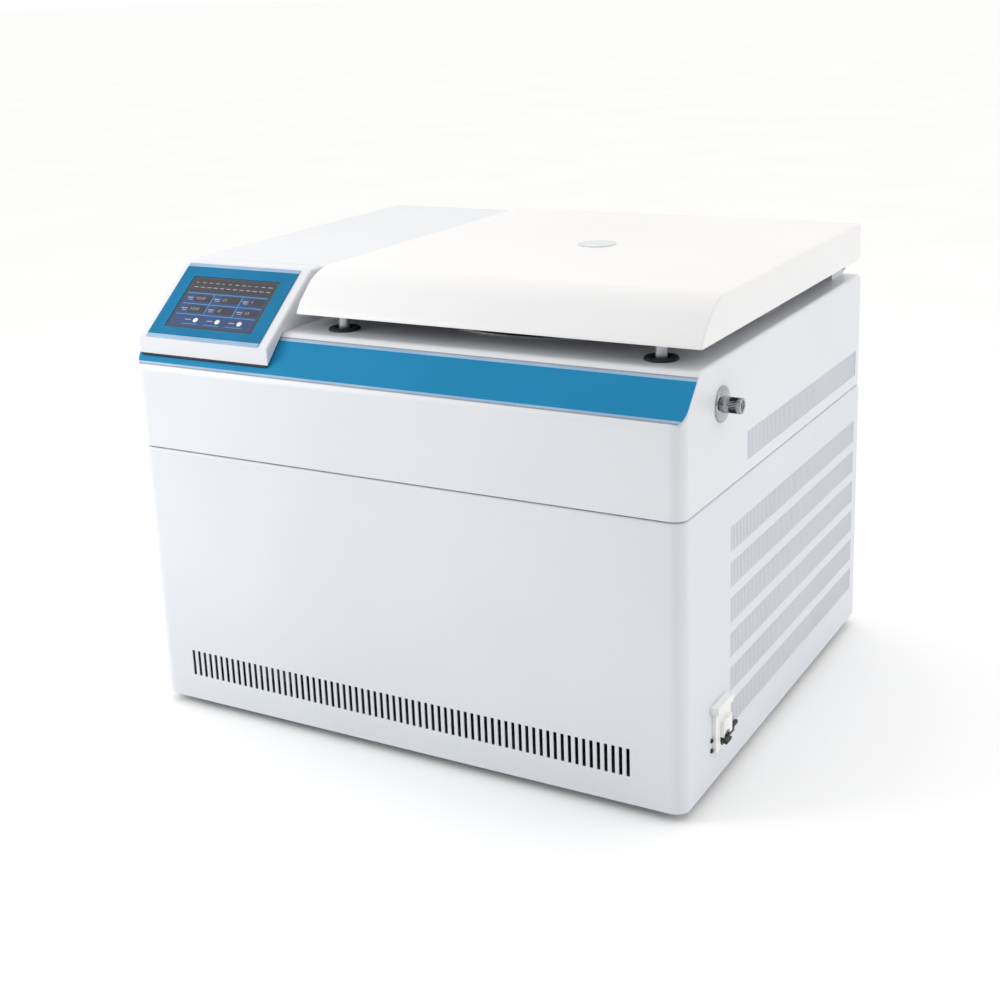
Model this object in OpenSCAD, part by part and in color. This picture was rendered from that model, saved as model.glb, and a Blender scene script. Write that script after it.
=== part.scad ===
// Benchtop refrigerated centrifuge with a swing-out rotor.
// Every module is drawn in case coordinates: x from the middle of the casing, y from its
// front face towards the back, and z from the bottom edge of the casing. in_case() then
// puts it in the part's frame, whose origin is at floor level under the middle of the box.

/* [Casing] */
// Width of the casing
case_w = 650; // [640:2:660]
// Depth of the casing
case_d = 543; // [540:1:550]
// Height of the lower casing, up to the seam
seam_h = 300; // [295:1:305]
// Height at which the front face turns into the fascia slope
slope_h = 390; // [386:1:392]
// Depth taken by the fascia slope
slope_d = 42; // [40:1:44]
// Height of the deck under the lid
deck_h = 434; // [432:1:436]
// Height of the raised deck on the left
raised_h = 491; // [489:1:493]
// Right-hand wall of the raised deck, from the middle of the casing
raised_x = -143; // [-145:1:-143]
// Front wall of the raised deck, from the front face
raised_y = 118; // [116:1:120]
// Radius of the two upright front corners
corner_r = 15; // [12:1:16]
// Thickness of the lower casing's steel sheet
sheet_t = 1.5; // [1.2:0.1:2]
// Wall of the moulded upper casing
shell_t = 4; // [3:0.5:4]
// Height of the rubber feet
foot_h = 10; // [8:1:14]

/* [Air slots] */
// Number of slots in the front
slot_n = 69; // [60:1:69]
// Distance from one slot to the next
slot_pitch = 8; // [7:0.5:8]
// Width of a front slot
slot_w = 3.6; // [3:0.2:4]
// Height of a front slot
slot_h = 30; // [24:1:34]
// Number of vent rows in each lower side
vent_n = 6; // [4:1:6]
// Distance from one vent row to the next
vent_pitch = 38; // [37:0.5:38]
// Height of a vent row
vent_h = 27; // [24:1:30]
// Distance between the fine slots of a vent row
louvre_pitch = 8; // [8:1:10]

/* [Lid] */
// Left edge of the lid, from the middle of the casing
lid_x0 = -134; // [-136:1:-132]
// Right edge of the lid
lid_x1 = 324; // [320:1:324]
// Underside of the lid
lid_z0 = 453; // [453:1:455]
// Top of the lid
lid_z1 = 495; // [493:1:498]
// Wall of the lid shell
lid_t = 3; // [2.5:0.5:3.5]

/* [Chamber and rotor] */
// Place of the rotor's axis, from the middle of the casing
rotor_x = 90; // [88:1:92]
// Place of the rotor's axis, from the front face
rotor_y = 314; // [310:1:316]
// Inner radius of the chamber
bowl_r = 198; // [196:1:198]
// Height of the chamber's floor
bowl_z = 265; // [262:1:266]
// Height of the bucket pins
pin_z = 379; // [377:1:380]
// Distance of the bucket pins from the rotor's axis
pin_r = 92; // [92:1:94]
// Outer radius of a bucket
bucket_r = 35; // [33:1:35]
// Depth of a bucket below its pins
bucket_drop = 88; // [80:1:88]

/* [Hidden] */
$fn = 96;
// Overshoot that keeps a cut clear of the faces it passes
cut = 1;
// Gap between pieces of different bodies that must not touch
clear = 0.3;
// Radial play of a running fit
play = 0.05;
half_w = case_w / 2;

// Casing
seam_gap = 1.2;
base_t = 3;
foot_r = 20;
foot_x = 275;
foot_y0 = 45;
foot_y1 = case_d - 45;
slot_x0 = -280;
slot_z0 = 30;
vent_y0 = 119;
vent_y1 = 527;
vent_z0 = 40.5;
upper_vent_y0 = 163;
upper_vent_z0 = 314;
upper_vent_h = 30;
grille_t = 1;
grille_inset = 0.6;
louvre_w = 3.6;
louvre_edge = 3;
rear_t = 1.5;
screw_r = 4;
screw_head = 2;
rear_reach = 12;

// Fascia and display pod
strip_t = 0.8;
strip_s0 = 7.8;
strip_s1 = 50.4;
strip_depth = 0.5;
slope_angle = atan2(deck_h - slope_h, slope_d);
pod_x0 = -321;
pod_x1 = -147;
pod_y0 = 10;
pod_lip_z0 = 404.5;
pod_lip_z1 = 422;
pod_top_y = 98;
pod_t = 3;
pod_angle = atan2(raised_h - pod_lip_z1, pod_top_y - pod_y0);
bezel_t = 1.2;
bezel_x0 = -312;
bezel_w = 153;
bezel_h = 107;
screen_x0 = -295;
screen_w = 119;
screen_s0 = 16.5;
screen_h = 73;
screen_t = 4;

// Chamber
liner_z0 = 447;
bowl_t = 1.5;
bowl_floor_hole_r = 30;
rim_r = bowl_r + 9;
rim_t = 1.5;
gasket_r = bowl_r + 6;
gasket_bead_r = 4;
bead_z = liner_z0 - clear - deck_h - rim_t - gasket_bead_r;
coil_pipe_r = 3.2;
header_r = 2.4;
coil_r = bowl_r + bowl_t + coil_pipe_r + 0.5;
coil_n = 7;
coil_pitch = 20;
coil_z0 = bowl_z + 15;
jacket_r0 = bowl_r + 10;
jacket_r1 = bowl_r + 20;
jacket_z0 = bowl_z - 15;
guard_r0 = bowl_r + 21;
guard_r1 = bowl_r + 26;
guard_z0 = bowl_z - 25;
guard_z1 = deck_h - shell_t - 2;
post_w = 24;
post_r = (guard_r0 + guard_r1) / 2;

// Drive
plate_r = 120;
plate_z0 = 51;
plate_t = 8;
damper_r = 15;
damper_ring_r = 98;
motor_r = 78;
motor_z1 = 225;
shaft_r = 8;
shaft_z0 = 185;
shaft_seat = 5;
head_t = 26;
hub_r = 48;
hub_z0 = pin_z - 20;
hub_z1 = pin_z + 20;
shaft_z1 = pin_z;
arm_w = 40;
arm_face = bucket_r + 9;
arm_reach = 104;
arm_nose = 60;
arm_root = 62;
trunnion_r = 6;
trunnion_in = bucket_r;
trunnion_out = arm_face + 12;
boss_r = 11;
bucket_t = 3;
bucket_rise = 10;
bucket_rim = 2;
bucket_rim_h = 5;

// Lid, hinge and latches
lid_y0 = 48;
lid_y1 = 540;
lid_lip_y = 55;
lid_lip_z = 465;
lid_crest_y = 88;
hinge_y = 533;
hinge_z = (deck_h + lid_z0) / 2;
hinge_x = [lid_x0 + 39, lid_x1 - 39];
cheek_r = 8.5;
cheek_y0 = 493;
cheek_x0 = 9.5;
cheek_x1 = 20;
cheek_top = 452;
hinge_pin_r = 4;
arm_half = 9;
knuckle_r = 6.5;
arm_y0 = 500;
arm_z0 = 446;
spring_r0 = 4.8;
spring_r1 = 7.6;
spring_groove = 1.2;
spring_pitch = 3;
spring_n = 36;
liner_t = 1.5;
liner_disc_r = bowl_r + 7;
mat_t = 8;
port_r = 19;
port_flange_r = 21.5;
latch_reach = 182;
latch_y = 75;
pin_radius = 6;
pin_tip_z = 405;
neck_r = 3;
neck_z0 = 411;
neck_z1 = 419;
grommet_bore_r = 8.5;
grommet_hole_r = 13;
grommet_flange_r = 17;
grommet_flange_t = 3;
hook_pivot_x = 14;
hook_pivot_z = 393;
hook_pivot_r = 2.5;
hook_t = 6;
latch_cheek_t = 4;
latch_cheek_x = 9;
latch_cheek_y = 8;
latch_back_x = 34;
latch_z0 = 384;
latch_cheek_z1 = deck_h - shell_t - 2 - clear;
latch_motor_z = 400;
latch_motor_r = 12;

// Services
breaker_y0 = 72;
breaker_y1 = 112;
breaker_z0 = 34;
breaker_z1 = 77;
breaker_out = 4;
breaker_in = 42;
breaker_screw_y = 69;
breaker_screw_r = 2.5;
breaker_nose = 8;
nose_in = 12;
hood_out = 9;
hood_side = 5;
hood_h = 8;
hood_t = 2;
toggle_y = 92;
toggle_z = 44;
toggle_r = 4;
toggle_l = 10;
toggle_half_w = 6;
toggle_recess_r = 8.5;
lock_y = 95;
lock_z = 390;
lock_rose_r = 18;
lock_r = 8;
lock_reach = 21;
plug_r = 5.5;
fan_y = 330;
fan_z = 125;
fan_r = 84;
condenser_x0 = 288;
condenser_x1 = 316;
condenser_y0 = 160;
condenser_y1 = 500;
condenser_z0 = 20;
condenser_z1 = 230;
shroud_t = 3;
compressor_x = -230;
compressor_y = 400;
compressor_r = 72;
line_r = 4;
line_y = 520;
line_rise = 12;
drier_x = -165;
drier_y = 480;
drier_z0 = 105;
drier_z1 = 205;
drier_r = 11;
drier_neck = 15;
compressor_z0 = 28;
compressor_h = 172;
dome_r = 18;
grommet_ring_r = 76;
tongue_w = 24;
tongue_t = 4;
board_z = 420;
board_t = 1.6;
board_y0 = 160;
board_x0 = -300;
board_w = 140;
chip = [22, 18, 6.4];
stud_r = 3;
stud_h = 12;
inverter = [[-310, 45, 20], [-170, 180, 190]];
fin_n = 9;
fin_t = 4;
fin_h = 22;
supply = [[-310, 200, base_t], [-170, 300, 70]];
supply_rail = 20;
spout_x = -200;
spout_z = 34;
spout_r = 5;
spout_bore_r = 3;
spout_flange_r = 9;
inlet_x = -250;
inlet_z = 70;
inlet_w = 50;
inlet_h = 28;

// The middle of the whole box: the lock reaches out on the right, the spout at the back
origin_x = lock_reach / 2;
origin_y = (case_d + rear_reach) / 2;

module in_case() {
    translate([-origin_x, -origin_y, foot_h]) children();
}

module at_rotor(z = 0) {
    translate([rotor_x, rotor_y, z]) children();
}

// Stands a y-z outline upright and runs it along x from x0 to x1
module along_x(x0, x1) {
    translate([x0, 0, 0]) rotate([90, 0, 90]) linear_extrude(x1 - x0) children();
}

module rod_x(x0, x1, r) {
    translate([x0, 0, 0]) rotate([0, 90, 0]) cylinder(h = x1 - x0, r = r);
}

module rod_y(y0, y1, r) {
    translate([0, y0, 0]) rotate([-90, 0, 0]) cylinder(h = y1 - y0, r = r);
}

module block(low, high) {
    translate(low) cube(high - low);
}

module ring(r0, r1, h) {
    difference() {
        cylinder(h = h, r = r1);
        translate([0, 0, -cut]) cylinder(h = h + 2 * cut, r = r0);
    }
}

// Lays a part flat on the sloped face of the pod, x across and y up the slope
module on_pod() {
    translate([0, pod_y0, pod_lip_z1]) rotate([pod_angle, 0, 0]) children();
}

module on_fascia() {
    translate([0, 0, slope_h]) rotate([slope_angle, 0, 0]) children();
}

// Plan of the casing: square at the back, rounded at the two front corners
module plan(inset = 0, back = case_d) {
    w = half_w - inset;
    r = corner_r - inset;
    translate([-w, inset + r]) square([2 * w, back - inset - r]);
    translate([-w + r, inset]) square([2 * (w - r), 2 * r]);
    for (x = [-w + r, w - r]) translate([x, inset + r]) circle(r);
}

module base_plate() {
    color("lightsteelblue") in_case() linear_extrude(base_t) difference() {
        plan(sheet_t + clear, case_d - 2);
        for (x = [-200, -100, 0]) for (y = [120, 260]) translate([x, y]) circle(30);
    }
}

module rubber_feet() {
    color("dimgray") in_case() for (x = [-foot_x, foot_x]) for (y = [foot_y0, foot_y1])
        translate([x, y, -foot_h]) {
            cylinder(h = 2, r1 = foot_r - 2, r2 = foot_r);
            translate([0, 0, 2]) cylinder(h = foot_h - 2, r = foot_r);
        }
}

module front_slots() {
    for (i = [0 : slot_n - 1])
        translate([slot_x0 + i * slot_pitch, -cut, slot_z0]) cube([slot_w, sheet_t + 2 * cut, slot_h]);
}

module side_windows() {
    for (side = [-1, 1]) for (i = [0 : vent_n - 1])
        translate([side * half_w - 2 * sheet_t, vent_y0, vent_z0 + i * vent_pitch])
            cube([4 * sheet_t, vent_y1 - vent_y0, vent_h]);
}

module lower_casing() {
    color("white") in_case() difference() {
        linear_extrude(seam_h - seam_gap) plan();
        translate([0, 0, -cut]) linear_extrude(seam_h + cut) plan(sheet_t, case_d + cut);
        front_slots();
        side_windows();
        breaker_window();
    }
}

module breaker_window() {
    block([half_w - 2 * sheet_t, breaker_y0 - clear, breaker_z0 - clear],
          [half_w + cut, breaker_y1 + clear, breaker_z1 + clear]);
}

// One vent row: a thin plate standing in the y-z plane with a row of fine slots
module grille(x, y0, y1, z0, h) {
    n = floor((y1 - y0 - 2 * louvre_edge) / louvre_pitch);
    along = y1 - y0;
    translate([0, y0 + clear, z0 + clear]) along_x(x, x + grille_t) difference() {
        square([along - 2 * clear, h - 2 * clear]);
        for (i = [0 : n - 1])
            translate([louvre_edge + i * louvre_pitch, louvre_edge]) square([louvre_w, h - 2 * louvre_edge]);
    }
}

module side_grilles() {
    right_x = half_w - grille_inset - grille_t;
    color("lightgray") in_case() {
        for (x = [-half_w + grille_inset, right_x]) for (i = [0 : vent_n - 1])
            grille(x, vent_y0, vent_y1, vent_z0 + i * vent_pitch, vent_h);
        grille(right_x, upper_vent_y0, vent_y1, upper_vent_z0, upper_vent_h);
    }
}

module rear_panel() {
    color("gainsboro") in_case() translate([0, case_d - rear_t, 0]) rotate([-90, 0, 0])
        linear_extrude(rear_t) mirror([0, 1]) difference() {
            translate([-half_w + sheet_t + clear, 0])
                square([case_w - 2 * (sheet_t + clear), seam_h - seam_gap]);
            translate([inlet_x - inlet_w / 2, inlet_z - inlet_h / 2]) square([inlet_w, inlet_h]);
            translate([spout_x, spout_z]) circle(spout_r + 1);
            for (i = [0 : 17]) for (z = [90, 150, 210])
                translate([40 + i * 12, z]) square([4, 40]);
        }
}

module casing_screws() {
    color("silver") in_case() {
        for (x = [-300, -100, 100, 300]) for (z = [14, 284])
            translate([x, case_d, z]) rod_y(0, screw_head, screw_r);
        for (z = [38, 49]) translate([half_w, breaker_screw_y, z]) rod_x(0, screw_head, breaker_screw_r);
    }
}

// Side outline of the upper casing, or the hollow inside it when inset is its wall
module case_outline(inset = 0) {
    foot = inset > 0 ? seam_h - cut : seam_h;
    polygon([
        [inset, foot], [inset, slope_h - inset * tan(45 - slope_angle / 2)],
        [slope_d + inset * tan(slope_angle / 2), deck_h - inset],
        [case_d - inset, deck_h - inset], [case_d - inset, foot]
    ]);
}

module raised_block(inset = 0) {
    block([-half_w + inset, raised_y + inset, deck_h - inset - cut],
          [raised_x - inset, case_d - inset, raised_h - inset]);
}

module upper_casing() {
    color("white") in_case() difference() {
        intersection() {
            union() {
                along_x(-half_w, half_w) case_outline();
                raised_block();
            }
            translate([0, 0, seam_h]) linear_extrude(raised_h) plan();
        }
        intersection() {
            along_x(-half_w + shell_t, half_w - shell_t) case_outline(shell_t);
            translate([0, 0, seam_h - cut]) linear_extrude(raised_h) plan(shell_t);
        }
        raised_block(shell_t);
        at_rotor(deck_h - shell_t - cut) cylinder(h = shell_t + 2 * cut, r = bowl_r + 2);
        for (side = [-1, 1]) translate([rotor_x + side * latch_reach, latch_y, deck_h - shell_t - cut])
            cylinder(h = shell_t + 2 * cut, r = grommet_hole_r);
        translate([0, lock_y, lock_z]) rod_x(half_w - shell_t - cut, half_w + cut, lock_r);
        block([half_w - shell_t - cut, upper_vent_y0, upper_vent_z0],
              [half_w + cut, vent_y1, upper_vent_z0 + upper_vent_h]);
        on_fascia() block([-half_w - cut, strip_s0, -strip_depth], [half_w + cut, strip_s1, cut]);
    }
}

module fascia_strip() {
    color("steelblue") in_case() intersection() {
        on_fascia() block([-half_w, strip_s0, -strip_depth], [half_w, strip_s1, strip_t - strip_depth]);
        translate([0, 0, slope_h - cut]) linear_extrude(deck_h - slope_h) plan(0.6);
    }
}

// Side outline of the display pod, or the hollow inside it when inset is its wall
module pod_outline(inset = 0) {
    t = inset;
    back = raised_y - (t > 0 ? -cut : 0);
    top = raised_h - t;
    run = t * tan(pod_angle / 2);
    polygon([
        [pod_y0 + t, pod_lip_z0 + t * 0.4], [pod_y0 + t, pod_lip_z1 - t * tan(45 - pod_angle / 2)],
        [pod_top_y + run, top], [back, top], [back, deck_h],
        [slope_d - 3 + t, deck_h]
    ]);
}

module display_pod() {
    color("whitesmoke") in_case() difference() {
        along_x(pod_x0, pod_x1) pod_outline();
        along_x(pod_x0 + pod_t, pod_x1 - pod_t) pod_outline(pod_t);
        on_pod() block([screen_x0, screen_s0, -pod_t - cut],
                       [screen_x0 + screen_w, screen_s0 + screen_h, cut]);
    }
}

module display_bezel() {
    color("steelblue") in_case() on_pod() linear_extrude(bezel_t) difference() {
        translate([bezel_x0, 1]) square([bezel_w, bezel_h]);
        translate([screen_x0, screen_s0]) square([screen_w, screen_h]);
    }
}

module touch_screen() {
    color("midnightblue") in_case() on_pod()
        block([screen_x0 + 0.2, screen_s0 + 0.2, bezel_t - 0.4 - screen_t],
              [screen_x0 + screen_w - 0.2, screen_s0 + screen_h - 0.2, bezel_t - 0.4]);
}

// The board with six chips on it, standing on four studs
module control_board() {
    edge = 8;
    color("darkgreen") in_case() translate([board_x0, board_y0, board_z]) {
        cube([board_w, board_w, board_t]);
        for (x = [10, 60, 110]) for (y = [15, 75]) translate([x, y, board_t]) cube(chip);
        for (x = [edge, board_w - edge]) for (y = [edge, board_w - edge])
            translate([x, y, -stud_h]) cylinder(h = stud_h, r = stud_r);
    }
}

// A closed box with a row of cooling fins on top
module drive_inverter() {
    low = inverter[0];
    high = inverter[1];
    fin_pitch = (high[0] - low[0] - 3 * fin_t) / (fin_n - 1);
    color("gray") in_case() {
        block(low, high);
        for (i = [0 : fin_n - 1])
            translate([low[0] + fin_t + i * fin_pitch, low[1] + fin_t, high[2]])
                cube([fin_t, high[1] - low[1] - 2 * fin_t, fin_h]);
    }
}

// A closed box with a terminal rail along its left edge
module power_supply() {
    color("silver") in_case() {
        block(supply[0], supply[1]);
        translate([supply[0][0], supply[0][1] + 4, supply[1][2]])
            cube([supply_rail, supply[1][1] - supply[0][1] - 8, supply_rail * 0.6]);
    }
}

module power_inlet() {
    w = inlet_w / 2 - clear;
    h = inlet_h / 2 - clear;
    color("black") in_case() translate([inlet_x, case_d, inlet_z]) {
        difference() {
            block([-w, -25, -h], [w, 2, h]);
            block([-w * 0.6, -18, -h * 0.65], [w * 0.6, 3, h * 0.65]);
        }
        for (x = [-8, 0, 8]) block([x - 1, -19, -4], [x + 1, -4, 4]);
    }
}

module drain_spout() {
    color("gray") in_case() translate([spout_x, 0, spout_z]) difference() {
        union() {
            rod_y(case_d - 30, case_d + rear_reach, spout_r);
            rod_y(case_d, case_d + 2, spout_flange_r);
        }
        rod_y(case_d - 25, case_d + rear_reach + cut, spout_bore_r);
    }
}

module chamber_bowl() {
    color("silver") in_case() at_rotor() difference() {
        union() {
            translate([0, 0, bowl_z - bowl_t])
                cylinder(h = deck_h - bowl_z + bowl_t + rim_t, r = bowl_r + bowl_t);
            translate([0, 0, deck_h]) cylinder(h = rim_t, r = rim_r);
        }
        translate([0, 0, bowl_z]) cylinder(h = deck_h - bowl_z + rim_t + cut, r = bowl_r);
        translate([0, 0, bowl_z - bowl_t - cut]) cylinder(h = bowl_t + 2 * cut, r = bowl_floor_hole_r);
    }
}

module chamber_gasket() {
    color("dimgray") in_case() at_rotor(deck_h + rim_t) rotate_extrude() translate([gasket_r, 0]) {
        translate([-gasket_bead_r, 0]) square([2 * gasket_bead_r, bead_z]);
        translate([0, bead_z]) circle(gasket_bead_r);
    }
}

module chamber_insulation() {
    color("khaki") in_case() at_rotor(jacket_z0) {
        ring(jacket_r0, jacket_r1, guard_z1 - jacket_z0);
        ring(bowl_floor_hole_r + 4, jacket_r0, bowl_z - bowl_t - jacket_z0);
    }
}

module evaporator_coil() {
    color("peru") in_case() at_rotor() {
        for (i = [0 : coil_n - 1]) translate([0, 0, coil_z0 + i * coil_pitch])
            rotate_extrude() translate([coil_r, 0]) circle(coil_pipe_r);
        for (a = [170, 190]) rotate([0, 0, a]) translate([coil_r, 0, coil_z0])
            cylinder(h = (coil_n - 1) * coil_pitch, r = header_r);
    }
}

module guard_ring() {
    color("slategray") in_case() at_rotor(guard_z0) ring(guard_r0, guard_r1, guard_z1 - guard_z0);
}

module support_posts() {
    color("slategray") in_case() at_rotor(base_t) for (a = [45 : 90 : 315]) rotate([0, 0, a])
        translate([post_r - post_w / 2, -post_w / 2, 0]) difference() {
            cube([post_w, post_w, guard_z0 - base_t]);
            translate([2, 2, 5]) cube([post_w - 4, post_w - 4, guard_z0 - base_t - 10]);
        }
}

module motor_plate() {
    color("gray") in_case() at_rotor(plate_z0) difference() {
        cylinder(h = plate_t, r = plate_r);
        for (a = [0 : 90 : 270]) rotate([0, 0, a + 20]) translate([damper_ring_r, 0, -cut])
            cylinder(h = plate_t + 2 * cut, r = 4);
    }
}

module motor_dampers() {
    color("black") in_case() at_rotor(base_t) for (a = [45 : 90 : 315]) rotate([0, 0, a])
        translate([damper_ring_r, 0, 0]) {
            cylinder(h = 6, r = damper_r);
            translate([0, 0, 6]) cylinder(h = plate_z0 - base_t - 12, r = damper_r - 3);
            translate([0, 0, plate_z0 - base_t - 6]) cylinder(h = 6, r = damper_r);
        }
}

module motor_housing() {
    color("darkslategray") in_case() at_rotor() difference() {
        union() {
            translate([0, 0, plate_z0 + plate_t])
                cylinder(h = motor_z1 - plate_z0 - plate_t - 12, r = motor_r - 4);
            for (z = [70 : 14 : 196]) translate([0, 0, z]) cylinder(h = 5, r = motor_r);
            translate([0, 0, motor_z1 - 12]) cylinder(h = 12, r = 40);
        }
        translate([0, 0, shaft_z0 - shaft_seat]) cylinder(h = motor_z1, r = shaft_r + play);
    }
}

module motor_boot() {
    color("black") in_case() at_rotor(bowl_z) rotate_extrude() polygon([
        [bowl_floor_hole_r - 2, 0], [bowl_floor_hole_r + 10, 0], [bowl_floor_hole_r + 10, 3],
        [bowl_floor_hole_r, 3], [24, 12], [24, 18], [18, 24], [18, 30], [14, 36],
        [11, 36], [15, 29], [15, 23], [21, 17], [21, 11]
    ]);
}

module compressor() {
    reach = grommet_ring_r + tongue_w / 2;
    color("black") in_case() translate([compressor_x, compressor_y, compressor_z0]) {
        rotate_extrude() {
            square([compressor_r - dome_r, compressor_h]);
            translate([0, dome_r]) square([compressor_r, compressor_h - 2 * dome_r]);
            for (z = [dome_r, compressor_h - dome_r]) translate([compressor_r - dome_r, z]) circle(dome_r);
        }
        for (a = [45 : 90 : 315]) rotate([0, 0, a])
            block([compressor_r / 2, -tongue_w / 2, -tongue_t], [reach, tongue_w / 2, 0]);
        block([-20, -compressor_r - 18, 52], [20, -compressor_r + 10, 102]);
    }
}

module compressor_grommets() {
    color("dimgray") in_case() translate([compressor_x, compressor_y, base_t])
        for (a = [45 : 90 : 315]) rotate([0, 0, a]) translate([grommet_ring_r, 0, 0])
            cylinder(h = compressor_z0 - tongue_t - base_t, r = 9);
}

module condenser() {
    color("silver") in_case() {
        for (i = [0 : 33]) block([condenser_x0 + 2, condenser_y0 + 2 + i * 10.2, condenser_z0],
                                 [condenser_x1 - 2, condenser_y0 + 4 + i * 10.2, condenser_z1]);
        for (z = [condenser_z0 + 15 : 30 : condenser_z1 - 10])
            translate([(condenser_x0 + condenser_x1) / 2, 0, z]) rod_y(condenser_y0, condenser_y1, 5);
        for (y = [condenser_y0, condenser_y1 - 2])
            block([condenser_x0, y, condenser_z0 - 10], [condenser_x1, y + 2, condenser_z1 + 4]);
    }
}

module fan_shroud() {
    color("black") in_case() {
        difference() {
            union() {
                block([condenser_x0 - shroud_t, condenser_y0, condenser_z0 - 10],
                      [condenser_x0, condenser_y1, condenser_z1 + 4]);
                translate([0, fan_y, fan_z]) rod_x(condenser_x0 - 38, condenser_x0, fan_r + 8);
            }
            translate([0, fan_y, fan_z]) rod_x(condenser_x0 - 38 - cut, condenser_x0 + cut, fan_r + 5);
        }
    }
}

module fan_motor() {
    color("dimgray") in_case() translate([0, fan_y, fan_z]) {
        rod_x(222, 250, 24);
        rod_x(250, 270, 3);
        for (a = [45 : 90 : 315]) rotate([a, 0, 0]) block([244, -3, 20], [250, 3, fan_r + 8]);
    }
}

module fan_blades() {
    color("gray") in_case() translate([0, fan_y, fan_z]) difference() {
        union() {
            rod_x(254, 278, 28);
            for (a = [0 : 72 : 288]) rotate([a, 0, 0]) translate([266, 0, 25]) rotate([0, 0, 55])
                translate([-1.2, -17, 0]) cube([2.4, 34, fan_r - 27]);
        }
        rod_x(253, 270.5, 3 + play);
    }
}

module filter_drier() {
    color("peru") in_case() translate([drier_x, drier_y, 0]) {
        translate([0, 0, drier_z0 + drier_neck])
            cylinder(h = drier_z1 - drier_z0 - 2 * drier_neck, r = drier_r);
        translate([0, 0, drier_z0]) cylinder(h = drier_z1 - drier_z0, r = line_r);
    }
}

module pipe(points, r) {
    for (i = [0 : len(points) - 2]) {
        a = points[i];
        b = points[i + 1];
        d = b - a;
        translate(a) rotate([0, acos(d[2] / norm(d)), atan2(d[1], d[0])]) cylinder(h = norm(d), r = r);
        translate(b) sphere(r);
    }
}

module refrigerant_lines() {
    top = drier_z1 + line_rise;
    low = drier_z0 - line_rise;
    meet_x = (condenser_x0 + condenser_x1) / 2;
    meet_y = condenser_y1 + line_r + clear;
    dome_y = compressor_y + compressor_r + line_r + clear;
    color("peru") in_case() {
        pipe([[drier_x, drier_y, drier_z1], [drier_x, drier_y, top], [drier_x, line_y, top],
              [meet_x, line_y, top], [meet_x, meet_y, top]], line_r);
        pipe([[drier_x, drier_y, drier_z0], [drier_x, drier_y, low], [drier_x, line_y, low],
              [compressor_x, line_y, low], [compressor_x, dome_y, low]], line_r);
    }
}

module breaker_body() {
    color("white") in_case() difference() {
        union() {
            block([half_w - breaker_in, breaker_y0, breaker_z0],
                  [half_w + breaker_out, breaker_y1, breaker_z1]);
            block([half_w + breaker_out - cut, breaker_y0 + nose_in, breaker_z0 + nose_in],
                  [half_w + breaker_nose, breaker_y1 - nose_in / 2, breaker_z1 - nose_in]);
        }
        translate([0, toggle_y, toggle_z])
            rod_x(half_w - toggle_recess_r, half_w + breaker_nose + cut, toggle_recess_r);
    }
}

module breaker_hood() {
    color("white") in_case() difference() {
        block([half_w, breaker_y0 - hood_side, breaker_z1 + 1],
              [half_w + hood_out, breaker_y1 - hood_side, breaker_z1 + 1 + hood_h]);
        block([half_w - cut, breaker_y0 - hood_side + hood_t, breaker_z1],
              [half_w + hood_out - hood_t, breaker_y1 - hood_side - hood_t, breaker_z1 + 1 + hood_h - hood_t]);
    }
}

module breaker_toggle() {
    color("black") in_case() translate([half_w + 1, toggle_y, toggle_z]) {
        rod_y(-toggle_half_w, toggle_half_w, toggle_r);
        rotate([0, 20, 0]) block([0, -toggle_half_w, -2], [toggle_l, toggle_half_w, 2]);
    }
}

module lock_barrel() {
    color("silver") in_case() translate([0, lock_y, lock_z]) difference() {
        union() {
            rod_x(half_w - 18, half_w + lock_reach, lock_r);
            rod_x(half_w, half_w + 3, lock_rose_r);
            rod_x(half_w - shell_t - 4, half_w - shell_t, lock_r + 4);
        }
        rod_x(half_w - 8, half_w + lock_reach + cut, plug_r + play);
    }
}

module lock_plug() {
    color("gray") in_case() translate([0, lock_y, lock_z]) difference() {
        rod_x(half_w - 7, half_w + lock_reach - 1, plug_r);
        block([half_w + 6, -1, -3.5], [half_w + lock_reach, 1, 3.5]);
    }
}

module at_latches() {
    for (side = [-1, 1]) translate([rotor_x + side * latch_reach, latch_y, 0]) children();
}

module latch_grommets() {
    color("black") in_case() at_latches() difference() {
        union() {
            translate([0, 0, deck_h]) cylinder(h = grommet_flange_t, r = grommet_flange_r);
            translate([0, 0, deck_h - shell_t - 2]) cylinder(h = shell_t + 2, r = grommet_hole_r);
        }
        translate([0, 0, deck_h - shell_t - 3]) cylinder(h = shell_t + 9, r = grommet_bore_r);
    }
}

// One latch with its pin at x = 0 and its works on the +x side: two cheeks that carry the hook's
// pivot, a back plate hung from the deck, and the motor behind it
module latch_housing() {
    for (y = [-latch_cheek_y, latch_cheek_y - latch_cheek_t])
        block([latch_cheek_x, y, latch_z0], [latch_back_x, y + latch_cheek_t, latch_cheek_z1]);
    block([latch_back_x, -latch_motor_r, latch_z0], [latch_back_x + 3, latch_motor_r, deck_h - shell_t]);
    translate([hook_pivot_x, 0, hook_pivot_z]) rod_y(-latch_cheek_y, latch_cheek_y, hook_pivot_r);
    translate([0, 0, latch_motor_z]) rod_x(latch_back_x + 3, latch_back_x + 40, latch_motor_r);
}

module latch_housings() {
    color("gray") in_case() {
        translate([rotor_x - latch_reach, latch_y, 0]) latch_housing();
        translate([rotor_x + latch_reach, latch_y, 0]) mirror([1, 0, 0]) latch_housing();
    }
}

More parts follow.
